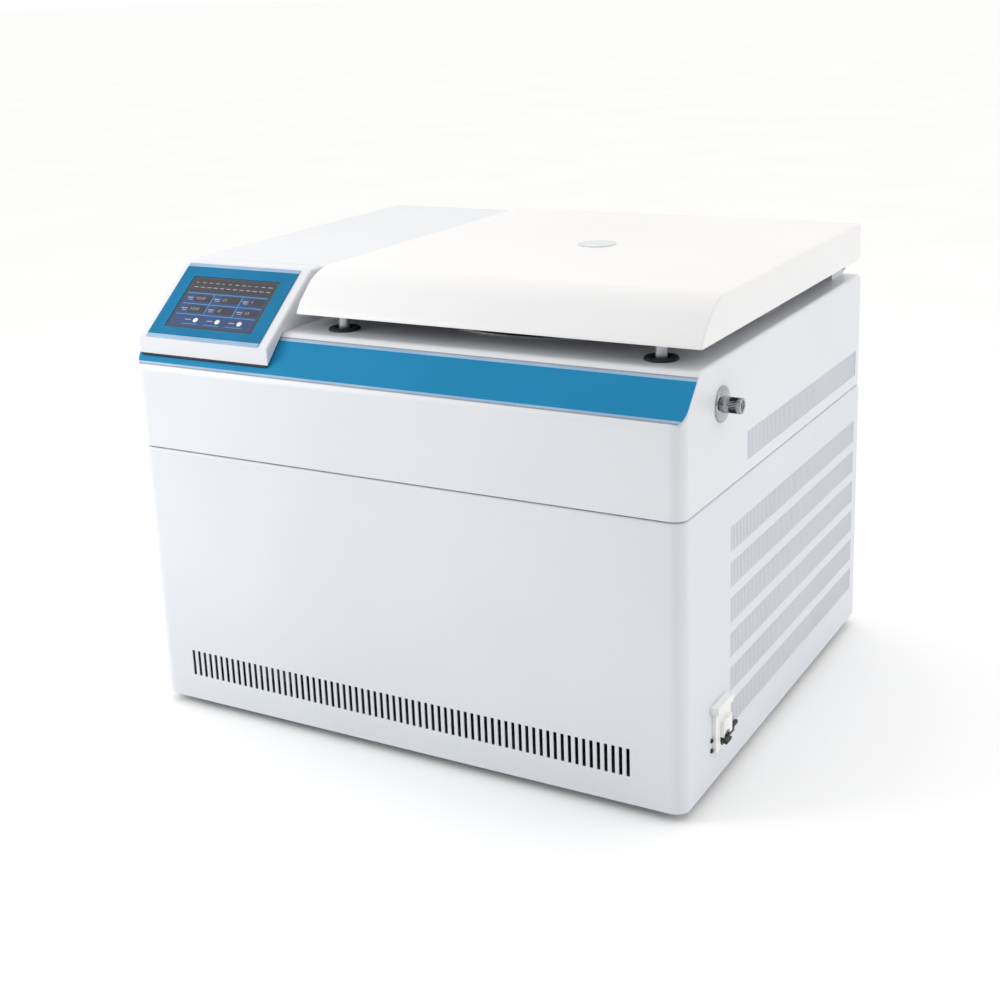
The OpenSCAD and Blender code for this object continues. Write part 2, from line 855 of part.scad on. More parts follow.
module latch_hook() {
    difference() {
        union() {
            translate([hook_pivot_x, 0, hook_pivot_z]) rod_y(-hook_t / 2, hook_t / 2, 5);
            translate([0, hook_t / 2, 0]) rotate([90, 0, 0]) linear_extrude(hook_t) polygon([
                [hook_pivot_x - 3, hook_pivot_z], [hook_pivot_x + 5, hook_pivot_z],
                [hook_pivot_x + 5, 418], [hook_pivot_x - 3.5, 418], [hook_pivot_x - 4.5, 417],
                [hook_pivot_x - 4.5, 414], [hook_pivot_x - 1, 411]
            ]);
        }
        translate([hook_pivot_x, 0, hook_pivot_z]) rod_y(-hook_t, hook_t, hook_pivot_r + play);
    }
}

module latch_hook_left() {
    color("silver") in_case() translate([rotor_x - latch_reach, latch_y, 0]) latch_hook();
}

module latch_hook_right() {
    color("silver") in_case() translate([rotor_x + latch_reach, latch_y, 0]) mirror([1, 0, 0]) latch_hook();
}

module latch_pins() {
    color("lightgray") in_case() at_latches() difference() {
        union() {
            translate([0, 0, pin_tip_z + 3]) cylinder(h = lid_z0 - pin_tip_z - 3, r = pin_radius);
            translate([0, 0, pin_tip_z]) cylinder(h = 3, r1 = pin_radius - 3, r2 = pin_radius);
            translate([0, 0, lid_z0 - 3]) cylinder(h = 3, r = pin_radius + 5);
        }
        translate([0, 0, neck_z0]) ring(neck_r, pin_radius + cut, neck_z1 - neck_z0);
    }
}

module hinge_brackets() {
    color("gainsboro") in_case() for (x = hinge_x) {
        difference() {
            for (x0 = [x - cheek_x1, x + cheek_x0]) {
                block([x0, cheek_y0, deck_h], [x0 + cheek_x1 - cheek_x0, hinge_y, cheek_top]);
                translate([0, hinge_y, hinge_z]) rod_x(x0, x0 + cheek_x1 - cheek_x0, cheek_r);
            }
            translate([0, hinge_y, hinge_z]) rod_x(x - cheek_x1 - cut, x + cheek_x1 + cut, hinge_pin_r);
        }
        block([x - cheek_x0, cheek_y0, deck_h], [x + cheek_x0, hinge_y - 12, deck_h + 1.5]);
    }
}

module hinge_shaft() {
    color("silver") in_case() translate([0, hinge_y, hinge_z])
        rod_x(hinge_x[0] - cheek_x1 - 3, hinge_x[1] + cheek_x1 + 3, hinge_pin_r);
}

module hinge_arms() {
    color("gainsboro") in_case() for (x = hinge_x) difference() {
        union() {
            translate([0, hinge_y, hinge_z]) rod_x(x - arm_half, x + arm_half, knuckle_r);
            block([x - arm_half, arm_y0, arm_z0], [x + arm_half, hinge_y, lid_z0]);
        }
        translate([0, hinge_y, hinge_z]) rod_x(x - arm_half - cut, x + arm_half + cut, hinge_pin_r + play);
    }
}

// Close-wound coils: a sleeve whose outside is grooved once for each turn
module lid_springs() {
    length = spring_n * spring_pitch;
    coils = [for (i = [0 : 2 * spring_n])
        [spring_r1 - (i % 2 == 0 ? spring_groove : 0), i * spring_pitch / 2]];
    color("dimgray") in_case() for (x = [hinge_x[0] + cheek_x1 + 12, hinge_x[1] - cheek_x1 - 12 - length])
        translate([x, hinge_y, hinge_z]) rotate([0, 90, 0])
            rotate_extrude() polygon(concat([[spring_r0, length], [spring_r0, 0]], coils));
}

// Side outline of the lid, or the hollow inside it when inset is its wall
module lid_outline(inset = 0) {
    low = inset > 0 ? lid_z0 - cut : lid_z0;
    polygon([
        [lid_y0 + inset, low], [lid_y0 + inset, lid_z0 + 2], [lid_lip_y + inset, lid_lip_z],
        [lid_crest_y + inset / 2, lid_z1 - inset], [lid_y1 - inset, lid_z1 - inset], [lid_y1 - inset, low]
    ]);
}

module port_hole() {
    at_rotor(liner_z0 - cut) cylinder(h = lid_z1, r = port_r);
}

module lid_shell() {
    color("white") in_case() difference() {
        along_x(lid_x0, lid_x1) lid_outline();
        along_x(lid_x0 + lid_t, lid_x1 - lid_t) lid_outline(lid_t);
        port_hole();
    }
}

module lid_insulation() {
    color("khaki") in_case() difference() {
        block([lid_x0 + 12, lid_y0 + 32, lid_z0 + liner_t],
              [lid_x1 - 12, lid_y1 - 12, lid_z0 + liner_t + mat_t]);
        port_hole();
    }
}

module lid_liner() {
    color("silver") in_case() difference() {
        union() {
            block([lid_x0 + lid_t + clear, lid_y0 + 12, lid_z0],
                  [lid_x1 - lid_t - clear, lid_y1 - lid_t - clear, lid_z0 + liner_t]);
            at_rotor(liner_z0) cylinder(h = lid_z0 - liner_z0 + cut / 2, r = liner_disc_r);
        }
        at_rotor(liner_z0 + liner_t) ring(port_r + 4, liner_disc_r - liner_t, lid_z0 - liner_z0 - liner_t);
        port_hole();
    }
}

module sight_port() {
    color("lightblue", 0.6) in_case() at_rotor() {
        translate([0, 0, lid_z1 - 5]) cylinder(h = 5, r = port_r);
        translate([0, 0, lid_z1]) cylinder(h = 1, r = port_flange_r);
        translate([0, 0, liner_z0]) ring(port_r - 2, port_r, lid_z1 - liner_z0);
        translate([0, 0, liner_z0]) cylinder(h = 3, r = port_r);
    }
}

module drive_shaft() {
    color("silver") in_case() at_rotor(shaft_z0) cylinder(h = shaft_z1 - shaft_z0, r = shaft_r);
}

module arm_plan() {
    translate([0, -arm_w / 2]) square([arm_reach * 0.9, arm_w]);
    rotate(-45) polygon([
        [arm_face, arm_root], [arm_face, arm_reach], [arm_nose, arm_reach],
        [arm_reach, arm_nose], [arm_reach, arm_face], [arm_root, arm_face]
    ]);
}

module rotor_head() {
    color("silver") in_case() at_rotor() difference() {
        union() {
            translate([0, 0, hub_z0]) cylinder(h = hub_z1 - hub_z0, r = hub_r);
            translate([0, 0, pin_z - head_t / 2]) linear_extrude(head_t)
                for (a = [45 : 90 : 315]) rotate(a) arm_plan();
        }
        translate([0, 0, hub_z0 - cut]) cylinder(h = shaft_z1 - hub_z0 + cut, r = shaft_r);
        trunnions();
    }
}

// The two pins of each bucket, on the line through its centre across the arm
module trunnions() {
    for (a = [0 : 90 : 270]) rotate([0, 0, a]) translate([pin_r, 0, pin_z]) for (m = [0, 1])
        mirror([0, m, 0]) rod_y(trunnion_in, trunnion_out, trunnion_r);
}

module trunnion_pins() {
    color("gray") in_case() at_rotor() trunnions();
}

module rotor_knob() {
    color("black") in_case() at_rotor(hub_z1) {
        cylinder(h = 4, r = 22);
        translate([0, 0, 4]) cylinder(h = 12, r = 17);
        translate([0, 0, 16]) cylinder(h = 3, r1 = 17, r2 = 14);
    }
}

// One swing-out bucket hanging from its two pins
module bucket(i) {
    z0 = -bucket_drop;
    color("silver") in_case() at_rotor() rotate([0, 0, 90 * (i - 1)]) translate([pin_r, 0, pin_z])
    difference() {
        union() {
            translate([0, 0, z0]) cylinder(h = 6, r1 = bucket_r - 6, r2 = bucket_r);
            translate([0, 0, z0 + 6]) cylinder(h = bucket_drop + bucket_rise - 6, r = bucket_r);
            translate([0, 0, bucket_rise - bucket_rim_h])
                cylinder(h = bucket_rim_h, r = bucket_r + bucket_rim);
            rod_y(-arm_face + 3, arm_face - 3, boss_r);
        }
        translate([0, 0, z0 + 6]) cylinder(h = bucket_drop + bucket_rise, r = bucket_r - bucket_t);
        for (m = [0, 1]) mirror([0, m, 0]) rod_y(trunnion_in - 0.5, arm_face, trunnion_r + play);
    }
}

module bucket_1() { bucket(1); }
module bucket_2() { bucket(2); }
module bucket_3() { bucket(3); }
module bucket_4() { bucket(4); }

base_plate();
rubber_feet();
lower_casing();
side_grilles();
rear_panel();
casing_screws();
upper_casing();
fascia_strip();
display_pod();
display_bezel();
touch_screen();
control_board();
drive_inverter();
power_supply();
power_inlet();
drain_spout();
chamber_bowl();
chamber_gasket();
chamber_insulation();
evaporator_coil();
guard_ring();
support_posts();
motor_plate();
motor_dampers();
motor_housing();
motor_boot();
compressor();
compressor_grommets();
condenser();
fan_shroud();
fan_motor();
filter_drier();
refrigerant_lines();
breaker_body();
breaker_hood();
lock_barrel();
latch_grommets();
latch_housings();
hinge_brackets();
hinge_shaft();
lid_springs();
lid_shell();
lid_insulation();
lid_liner();
sight_port();
latch_pins();
hinge_arms();
drive_shaft();
rotor_head();
trunnion_pins();
rotor_knob();
bucket_1();
bucket_2();
bucket_3();
bucket_4();
latch_hook_left();
latch_hook_right();
fan_blades();
breaker_toggle();
lock_plug();
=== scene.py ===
import math

import bmesh
import bpy
from mathutils import Matrix, Vector


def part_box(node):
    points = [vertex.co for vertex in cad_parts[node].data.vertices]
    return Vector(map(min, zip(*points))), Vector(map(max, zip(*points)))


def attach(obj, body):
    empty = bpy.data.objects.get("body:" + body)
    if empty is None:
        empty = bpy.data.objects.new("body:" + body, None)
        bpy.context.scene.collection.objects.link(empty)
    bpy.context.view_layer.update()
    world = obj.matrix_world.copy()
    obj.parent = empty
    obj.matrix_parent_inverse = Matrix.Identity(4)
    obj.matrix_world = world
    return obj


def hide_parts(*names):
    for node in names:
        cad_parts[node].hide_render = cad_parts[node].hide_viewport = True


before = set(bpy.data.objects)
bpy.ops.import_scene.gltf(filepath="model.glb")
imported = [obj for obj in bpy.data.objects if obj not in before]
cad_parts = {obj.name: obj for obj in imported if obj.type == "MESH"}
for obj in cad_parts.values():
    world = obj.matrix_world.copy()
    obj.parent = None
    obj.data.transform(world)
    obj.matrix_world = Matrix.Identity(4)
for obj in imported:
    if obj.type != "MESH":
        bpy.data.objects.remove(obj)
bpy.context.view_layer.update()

# Places are given as (across, back, up) in millimetres from the middle of the casing's front bottom
# edge, which the casing's own box gives.
MM = 0.001
casing_low, casing_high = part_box("lower_casing")
FRONT_FOOT = Vector(((casing_low.x + casing_high.x) / 2, casing_low.y, casing_low.z))


def at(across, back, up):
    """A point of the machine, in metres."""
    return FRONT_FOOT + Vector((across, back, up)) * MM


# Studio: the camera stands to the right of the machine and a little above it. A soft box at the
# upper left is the key light, and a wider, weaker one fills the right side.
EYE = at(844.2, -1230.0, 787.4)
YAW, PITCH, ROLL = math.radians(29.70), math.radians(15.716), math.radians(-2.096)
camera_data = bpy.data.cameras.new("camera")
camera_data.sensor_width = 36.0
camera_data.lens = 55.55
camera_data.shift_x = -0.0052
camera_data.shift_y = -0.0892
camera_data.clip_end = 100.0
camera = bpy.data.objects.new("camera", camera_data)
camera.matrix_world = (
    Matrix.Translation(EYE)
    @ Matrix.Rotation(YAW, 4, "Z")
    @ Matrix.Rotation(math.pi / 2 - PITCH, 4, "X")
    @ Matrix.Rotation(ROLL, 4, "Z")
)
bpy.context.scene.collection.objects.link(camera)
bpy.context.scene.camera = camera
bpy.context.scene.view_settings.view_transform = "Standard"


def soft_box(name, place, aim, size, power):
    """A square studio light that looks at a point, in metres and watts."""
    data = bpy.data.lights.new(name, "AREA")
    data.shape = "RECTANGLE"
    data.size, data.size_y = size, size
    data.energy = power
    lamp = bpy.data.objects.new(name, data)
    lamp.location = place
    lamp.rotation_mode = "QUATERNION"
    lamp.rotation_quaternion = (Vector(aim) - Vector(place)).to_track_quat("-Z", "Y")
    bpy.context.scene.collection.objects.link(lamp)


soft_box("key_light", (-0.95, -0.95, 0.9), (-0.15, 0.0, 0.25), 0.7, 7.5)
soft_box("side_light", (1.8, 0.3, 0.9), (0.3, 0.0, 0.3), 1.2, 4.0)


def linear(hex_colour):
    """The linear colour, with alpha, of an sRGB hex value."""
    parts = [int(hex_colour[i : i + 2], 16) / 255 for i in (1, 3, 5)]
    return (*(c / 12.92 if c <= 0.04045 else ((c + 0.055) / 1.055) ** 2.4 for c in parts), 1.0)


def add_node(material, kind, inputs=None, **settings):
    """Adds a node, sets it, and gives each named input a value or the socket that feeds it."""
    made = material.node_tree.nodes.new(kind)
    for key, value in settings.items():
        setattr(made, key, value)
    for key, value in (inputs or {}).items():
        if isinstance(value, bpy.types.NodeSocket):
            material.node_tree.links.new(value, made.inputs[key])
        else:
            made.inputs[key].default_value = value
    return made


# The room is white above and behind the machine and falls off to a cool dark below and in front of
# it, so each face of the casing takes its own tone and the steel has something to mirror.
BRIGHT_WAY = (-0.1, 0.66, 0.74)
room = bpy.data.worlds.new("white_room")
room.use_nodes = True
way = add_node(room, "ShaderNodeTexCoord").outputs["Generated"]
facing = add_node(room, "ShaderNodeVectorMath", {0: way, 1: BRIGHT_WAY}, operation="DOT_PRODUCT")
span = {"Value": facing.outputs["Value"], "From Min": -1.0, "From Max": 1.0}
lightness = add_node(room, "ShaderNodeMapRange", span).outputs["Result"]
walls = add_node(room, "ShaderNodeValToRGB", {"Fac": lightness})
walls.color_ramp.elements[0].color = linear("#454d59")
walls.color_ramp.elements[1].color = linear("#fffefc")
background = room.node_tree.nodes["Background"]
room.node_tree.links.new(walls.outputs["Color"], background.inputs["Color"])
background.inputs["Strength"].default_value = 1.32
bpy.context.scene.world = room

# Seamless paper under the machine: one white sheet, rolled out far past it on every side. It is the
# floor of the studio and no part of the machine.
PAPER_SIZE = 60.0


def finish_of(name, colour, roughness, metallic=0.0, **sockets):
    """A material with one shader: its colour, roughness, metallic, and any other named socket."""
    material = bpy.data.materials.new(name)
    material.use_nodes = True
    material.diffuse_color = linear(colour)
    shader = material.node_tree.nodes["Principled BSDF"]
    values = {"Base Color": linear(colour), "Roughness": roughness, "Metallic": metallic}
    for key, value in {**values, **{k.replace("_", " "): v for k, v in sockets.items()}}.items():
        shader.inputs[key].default_value = value
    return material


def noise_in(material, size_mm, detail=2.0, stretch=(1.0, 1.0, 1.0)):
    """A noise whose cells have a real size. stretch draws them out, as brushing does."""
    place = add_node(material, "ShaderNodeTexCoord").outputs["Object"]
    spread = add_node(material, "ShaderNodeMapping", {"Vector": place, "Scale": stretch})
    wanted = {"Vector": spread.outputs["Vector"], "Scale": 1 / (size_mm * MM), "Detail": detail}
    return add_node(material, "ShaderNodeTexNoise", wanted).outputs["Fac"]


def drift(material, fac, low, high):
    """Lets the base colour drift between two shades as a noise rises."""
    ramp = add_node(material, "ShaderNodeValToRGB", {"Fac": fac})
    first, last = ramp.color_ramp.elements
    first.position, last.position = 0.35, 0.65
    first.color, last.color = linear(low), linear(high)
    shader = material.node_tree.nodes["Principled BSDF"]
    material.node_tree.links.new(ramp.outputs["Color"], shader.inputs["Base Color"])


def texture(material, fac, height_mm, strength=0.5, rough=None):
    """Raises a noise as bump of a real height, and may let it vary the roughness too."""
    shader = material.node_tree.nodes["Principled BSDF"]
    wanted = {"Height": fac, "Distance": height_mm * MM, "Strength": strength}
    bump = add_node(material, "ShaderNodeBump", wanted)
    material.node_tree.links.new(bump.outputs["Normal"], shader.inputs["Normal"])
    if rough:
        wanted = {"Value": fac, "To Min": rough[0], "To Max": rough[1]}
        varied = add_node(material, "ShaderNodeMapRange", wanted)
        material.node_tree.links.new(varied.outputs["Result"], shader.inputs["Roughness"])


# Uncoated paper: matt white, with only a faint mottle.
paper = finish_of("seamless_paper", "#fcfcfc", 0.95)
drift(paper, noise_in(paper, 400), "#fbfbfb", "#fdfdfd")
sheet = bmesh.new()
bmesh.ops.create_grid(sheet, x_segments=1, y_segments=1, size=PAPER_SIZE)
floor_data = bpy.data.meshes.new("floor")
sheet.to_mesh(floor_data)
floor_data.materials.append(paper)
floor = bpy.data.objects.new("floor", floor_data)
bpy.context.scene.collection.objects.link(floor)

# Lower casing: one sheet of 1.5 mm steel, punched flat with its vents and slots, folded round the
# front and both sides with a lip turned in along the seam, and powder coated white.
SHEET = 1.5
CORNER_R = 15.0
ARC_STEPS = 10
BEND_R = 3.0
SEAM_LIP = 10.0
WIDTH, DEPTH = ((casing_high - casing_low) / MM)[:2]
HALF = WIDTH / 2
SEAM_TOP = (casing_high.z - casing_low.z) / MM
SLOT_W, SLOT_H = 3.6, 30.0
SLOT_PITCH = 8.0
SLOT_COUNT = 69
SLOT_X, SLOT_Z = -280.0, 30.0
VENT_Y = (119.0, 527.0)
VENT_Z0, VENT_PITCH, VENT_H, VENT_ROWS = 40.5, 38.0, 27.0, 6
PUNCH = 5.0


def corners_of(node):
    """The low and the high corner of a CAD node's box, as places in millimetres."""
    return ((corner - FRONT_FOOT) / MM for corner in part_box(node))


def plan(up, inset=0.0):
    """The casing's outline seen from above: square at the back, round at the front corners."""
    r = CORNER_R - inset
    points = [at(-HALF + inset, DEPTH, up)]
    for side, start in ((-1, math.pi), (1, 1.5 * math.pi)):
        for step in range(ARC_STEPS + 1):
            angle = start + step * math.pi / 2 / ARC_STEPS
            across = side * (HALF - CORNER_R) + r * math.cos(angle)
            points.append(at(across, CORNER_R + r * math.sin(angle), up))
    return [*points, at(HALF - inset, DEPTH, up)]


def extruded(outline, push):
    """A closed bmesh: a flat outline pushed along a vector given in millimetres."""
    mesh = bmesh.new()
    face = mesh.faces.new([mesh.verts.new(point) for point in outline])
    swept = bmesh.ops.extrude_face_region(mesh, geom=[face])["geom"]
    moved = [part for part in swept if isinstance(part, bmesh.types.BMVert)]
    bmesh.ops.translate(mesh, vec=Vector(push) * MM, verts=moved)
    bmesh.ops.recalc_face_normals(mesh, faces=mesh.faces)
    return mesh


def box(low, high):
    """A closed bmesh: a block between two corners of the machine."""
    a, b = at(*low), at(*high)
    mesh = bmesh.new()
    size = Matrix.Diagonal((*(b - a), 1.0))
    bmesh.ops.create_cube(mesh, size=1.0, matrix=Matrix.Translation((a + b) / 2) @ size)
    return mesh


def gather(meshes):
    """One bmesh out of several, which are used up."""
    whole = bmesh.new()
    data = bpy.data.meshes.new("part")
    for mesh in meshes:
        mesh.to_mesh(data)
        mesh.free()
        whole.from_mesh(data)
    bpy.data.meshes.remove(data)
    return whole


def combine(mesh, tool, operation):
    """The exact boolean of two closed bmeshes, which are used up."""
    pair = []
    for part in (mesh, tool):
        data = bpy.data.meshes.new("part")
        part.to_mesh(data)
        part.free()
        pair.append(bpy.data.objects.new("part", data))
        bpy.context.scene.collection.objects.link(pair[-1])
    cut = pair[0].modifiers.new("cut", "BOOLEAN")
    cut.object, cut.operation, cut.solver = pair[1], operation, "EXACT"
    result = bmesh.new()
    bpy.context.view_layer.update()
    result.from_object(pair[0], bpy.context.evaluated_depsgraph_get())
    for part in pair:
        bpy.data.meshes.remove(part.data)
    bmesh.ops.remove_doubles(result, verts=result.verts, dist=0.01 * MM)
    bmesh.ops.dissolve_limit(result, angle_limit=math.radians(0.4), verts=result.verts,
                             edges=result.edges)
    return result


def rounded(mesh, edges, radius, segments=4):
    """Rounds edges of a bmesh with an arc."""
    bmesh.ops.bevel(mesh, geom=list(edges), offset=radius * MM, offset_type="OFFSET",
                    segments=segments, profile=0.5, affect="EDGES", clamp_overlap=True, material=-1)


def piece(name, mesh, material, body, nodes=(), edge=0.0, segments=2, crease=30.0):
    """Makes a finished piece of a bmesh: smooth faces, sharp or softened edges, its material, and
    the body that it rides on and the CAD nodes that it stands for."""
    for face in mesh.faces:
        face.smooth = True
    for joint in mesh.edges:
        joint.smooth = edge > 0 or joint.calc_face_angle(0.0) < math.radians(crease)
    data = bpy.data.meshes.new(name)
    mesh.to_mesh(data)
    mesh.free()
    data.materials.append(material)
    made = bpy.data.objects.new(name, data)
    bpy.context.scene.collection.objects.link(made)
    if edge > 0:
        soft = made.modifiers.new("soft_edges", "BEVEL")
        soft.width, soft.segments = edge * MM, segments
        soft.limit_method, soft.angle_limit = "ANGLE", math.radians(crease)
    made.modifiers.new("flat_faces", "WEIGHTED_NORMAL").keep_sharp = True
    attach(made, body)
    if nodes:
        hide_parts(*nodes)
    return made


casing = extruded(plan(0.0), (0, 0, SEAM_TOP))
top = max(casing.faces, key=lambda face: face.calc_center_median().z)
not_back = [e for e in top.edges if min(v.co.y for v in e.verts) < casing_high.y - MM]
rounded(casing, not_back, BEND_R)
top = max(casing.faces, key=lambda face: (face.normal.z > 0.9) * face.calc_area())
bmesh.ops.inset_region(casing, faces=[top], thickness=SEAM_LIP * MM)
open_faces = [f for f in casing.faces if f.normal.z < -0.9 or f.normal.y > 0.9]
bmesh.ops.delete(casing, geom=[top, *open_faces], context="FACES")
bmesh.ops.solidify(casing, geom=list(casing.faces), thickness=SHEET * MM)
bmesh.ops.recalc_face_normals(casing, faces=casing.faces)
slots = [SLOT_X + i * SLOT_PITCH for i in range(SLOT_COUNT)]
openings = [box((x, -PUNCH, SLOT_Z), (x + SLOT_W, PUNCH, SLOT_Z + SLOT_H)) for x in slots]
vents = [(VENT_Z0 + i * VENT_PITCH, VENT_Z0 + i * VENT_PITCH + VENT_H) for i in range(VENT_ROWS)]
for wall in (-HALF, HALF):
    openings += [box((wall - PUNCH, VENT_Y[0], z0), (wall + PUNCH, VENT_Y[1], z1)) for z0, z1 in vents]
casing = combine(casing, gather(openings), "DIFFERENCE")
breaker_low, breaker_high = corners_of("breaker_body")
breaker_hole = box((HALF - PUNCH, breaker_low.y, breaker_low.z),
                   (HALF + PUNCH, breaker_high.y, breaker_high.z))
casing = combine(casing, breaker_hole, "DIFFERENCE")

# Powder coat on steel: satin, with the fine pebbling of the fused powder. The coat is white; its cool
# bluish grey tint is painted shade, the cool cast of the faces that look forward and sideways.
powder_coat = finish_of("powder_coated_steel", "#d9dce1", 0.42)
drift(powder_coat, noise_in(powder_coat, 260), "#d7dadf", "#dbdee3")
texture(powder_coat, noise_in(powder_coat, 1.6), 0.03, 0.35, rough=(0.36, 0.5))
piece("casing_sheet", casing, powder_coat, "cabinet", ["lower_casing"], edge=0.6)

# Side vents: thin plates punched into narrow upright louvres, set behind the windows of the casing
# and powder coated with it.
LOUVRE_PITCH = 4.0
LOUVRE_W = 3.1
LOUVRE_T = 1.0
PLATE_EDGE = 0.8
PLATE_INSET = 0.6
UPPER_VENT_Y = (163.0, VENT_Y[1])
UPPER_VENT_Z = (314.0, 344.0)


def vent_plate(side, y0, y1, z0, z1):
    """The bars and the border of one vent plate, as blocks."""
    x0, x1 = sorted((side * (HALF - PLATE_INSET), side * (HALF - PLATE_INSET - LOUVRE_T)))
    count = int((y1 - y0 - 2 * PLATE_EDGE) / LOUVRE_PITCH)
    first = (y0 + y1 - count * LOUVRE_PITCH) / 2
    last = first + count * LOUVRE_PITCH
    foot, head = z0 + PLATE_EDGE, z1 - PLATE_EDGE
    starts = [first + i * LOUVRE_PITCH for i in range(count)]
    bars = [box((x0, y, foot), (x1, y + LOUVRE_W, head)) for y in starts]
    borders = [((x0, y0, z0), (x1, y1, foot)), ((x0, y0, head), (x1, y1, z1)),
               ((x0, y0, foot), (x1, first, head)), ((x0, last, foot), (x1, y1, head))]
    return bars + [box(low, high) for low, high in borders]


plates = []
for side in (-1, 1):
    for z0, z1 in vents:
        plates += vent_plate(side, *VENT_Y, z0, z1)
plates += vent_plate(1, *UPPER_VENT_Y, *UPPER_VENT_Z)

# The same coat on the vent plates, a shade greyer and duller than the sheet. The greyer colour is painted
# shade for the slotted rows, whose edges catch less light.
shaded_vent_coat = finish_of("powder_coated_vent_plate", "#ced1d9", 0.5)
drift(shaded_vent_coat, noise_in(shaded_vent_coat, 180), "#cccfd7", "#d1d4dc")
texture(shaded_vent_coat, noise_in(shaded_vent_coat, 1.2), 0.03, 0.3, rough=(0.42, 0.56))
piece("vent_louvres", gather(plates), shaded_vent_coat, "cabinet", ["side_grilles"])

# Upper casing: one moulding with the sloped front, the deck and the raised deck on the left. It is
# 4 mm thick with soft edges, and is bored for the chamber, the latches and the lock.
SEAM = 300.0
SLOPE_Z = 390.0
DECK = 434.0
SLOPE_Y = 42.0
RAISED = 491.0
RAISED_X = -143.0
RAISED_Y = 118.0
WALL = 4.0
BEYOND = 10.0
EDGE_R, SEAM_EDGE_R = 4.5, 1.8
SLOPE_ANGLE = math.atan2(DECK - SLOPE_Z, SLOPE_Y)
STRIP = (7.8, 50.4)
RECESS = 0.5
bowl_low, bowl_high = corners_of("chamber_bowl")
BOWL_FLANGE_R = (bowl_high.x - bowl_low.x) / 2
ROTOR_X, ROTOR_Y = (bowl_low.x + bowl_high.x) / 2, (bowl_low.y + bowl_high.y) / 2
ROTOR_AXIS = (ROTOR_X, ROTOR_Y, 0)
RIM_LAP = 7.0
grommet_low, grommet_high = corners_of("latch_grommets")
GROMMET_R = 17.0
GROMMET_NECK_R = 13.0
LATCH_Y = grommet_low.y + GROMMET_R
LATCHES = [(grommet_low.x + GROMMET_R, LATCH_Y, 0), (grommet_high.x - GROMMET_R, LATCH_Y, 0)]
lock_low, lock_high = corners_of("lock_barrel")
LOCK = (0, (lock_low.y + lock_high.y) / 2, (lock_low.z + lock_high.z) / 2)
LOCK_BORE_R = 8.0
BORE = 8.0
TURNS = {"X": Matrix.Rotation(math.pi / 2, 4, "Y"), "Y": Matrix.Rotation(-math.pi / 2, 4, "X"),
         "Z": Matrix()}


def turned(profile, place, axis="Z", steps=72):
    """A closed bmesh: (radius, height) points in millimetres turned round an axis through a place."""
    mesh = bmesh.new()
    points = [mesh.verts.new((radius * MM, 0, height * MM)) for radius, height in profile]
    lines = [mesh.edges.new(pair) for pair in zip(points, points[1:])]
    bmesh.ops.spin(mesh, geom=points + lines, cent=(0, 0, 0), axis=(0, 0, 1), angle=math.tau,
                   steps=steps, use_merge=True)
    bmesh.ops.remove_doubles(mesh, verts=mesh.verts, dist=0.001 * MM)
    bmesh.ops.recalc_face_normals(mesh, faces=mesh.faces)
    bmesh.ops.transform(mesh, matrix=Matrix.Translation(at(*place)) @ TURNS[axis], verts=mesh.verts)
    return mesh


def rod(radius, low, high, place, axis="Z", steps=72):
    """A plain round bar between two heights along its axis."""
    return turned([(0, low), (radius, low), (radius, high), (0, high)], place, axis, steps)


def sloped_block(face, x0, y0, x1, y1, z0, z1):
    """A block laid on a sloped face: across, up the slope and out of it, in millimetres."""
    mesh = bmesh.new()
    size = Matrix.Diagonal(((x1 - x0) * MM, (y1 - y0) * MM, (z1 - z0) * MM, 1.0))
    place = Matrix.Translation(Vector((x0 + x1, y0 + y1, z0 + z1)) * MM / 2)
    bmesh.ops.create_cube(mesh, size=1.0, matrix=face @ place @ size)
    return mesh


def case_outline(inset, foot, beyond):
    """The side outline of the upper casing, or of the hollow in it when inset is its wall."""
    low_bend = SLOPE_Z - inset * math.tan(math.pi / 4 - SLOPE_ANGLE / 2)
    high_bend = SLOPE_Y + inset * math.tan(SLOPE_ANGLE / 2)
    drop = beyond * math.tan(SLOPE_ANGLE)
    return [(inset - beyond, foot), (inset - beyond, low_bend - drop), (high_bend, DECK - inset),
            (DEPTH - inset + beyond, DECK - inset), (DEPTH - inset + beyond, foot)]


fascia_face = Matrix.Translation(at(0, 0, SLOPE_Z)) @ Matrix.Rotation(SLOPE_ANGLE, 4, "X")
outer = extruded([at(-HALF - BEYOND, y, z) for y, z in case_outline(0, SEAM - BEYOND, BEYOND)],
                 (2 * (HALF + BEYOND), 0, 0))
raised = box((-HALF - BEYOND, RAISED_Y, DECK - BEYOND), (RAISED_X, DEPTH + BEYOND, RAISED))
outer = combine(outer, raised, "UNION")
outer = combine(outer, extruded(plan(SEAM), (0, 0, RAISED - SEAM + BEYOND)), "INTERSECT")
seam_z = at(0, 0, SEAM).z
upper_edges = [e for e in outer.edges
               if e.calc_face_angle(0.0) > math.radians(25) and max(v.co.z for v in e.verts) > seam_z + MM]
rounded(outer, upper_edges, EDGE_R)
seam_edges = [e for e in outer.edges if max(v.co.z for v in e.verts) < seam_z + 0.1 * MM]
rounded(outer, seam_edges, SEAM_EDGE_R, 3)
hollow = extruded([at(-HALF + WALL, y, z) for y, z in case_outline(WALL, SEAM - BEYOND, 0)],
                  (2 * (HALF - WALL), 0, 0))
raised_hollow = box((-HALF + WALL, RAISED_Y + WALL, DECK - WALL - 1),
                    (RAISED_X - WALL, DEPTH - WALL, RAISED - WALL))
round_hollow = extruded(plan(SEAM - BEYOND, WALL), (0, 0, RAISED - SEAM + BEYOND))
hollow = combine(hollow, round_hollow, "INTERSECT")
outer = combine(outer, combine(hollow, raised_hollow, "UNION"), "DIFFERENCE")
holes = [rod(BOWL_FLANGE_R - RIM_LAP, DECK - BORE, DECK + BORE, ROTOR_AXIS)]
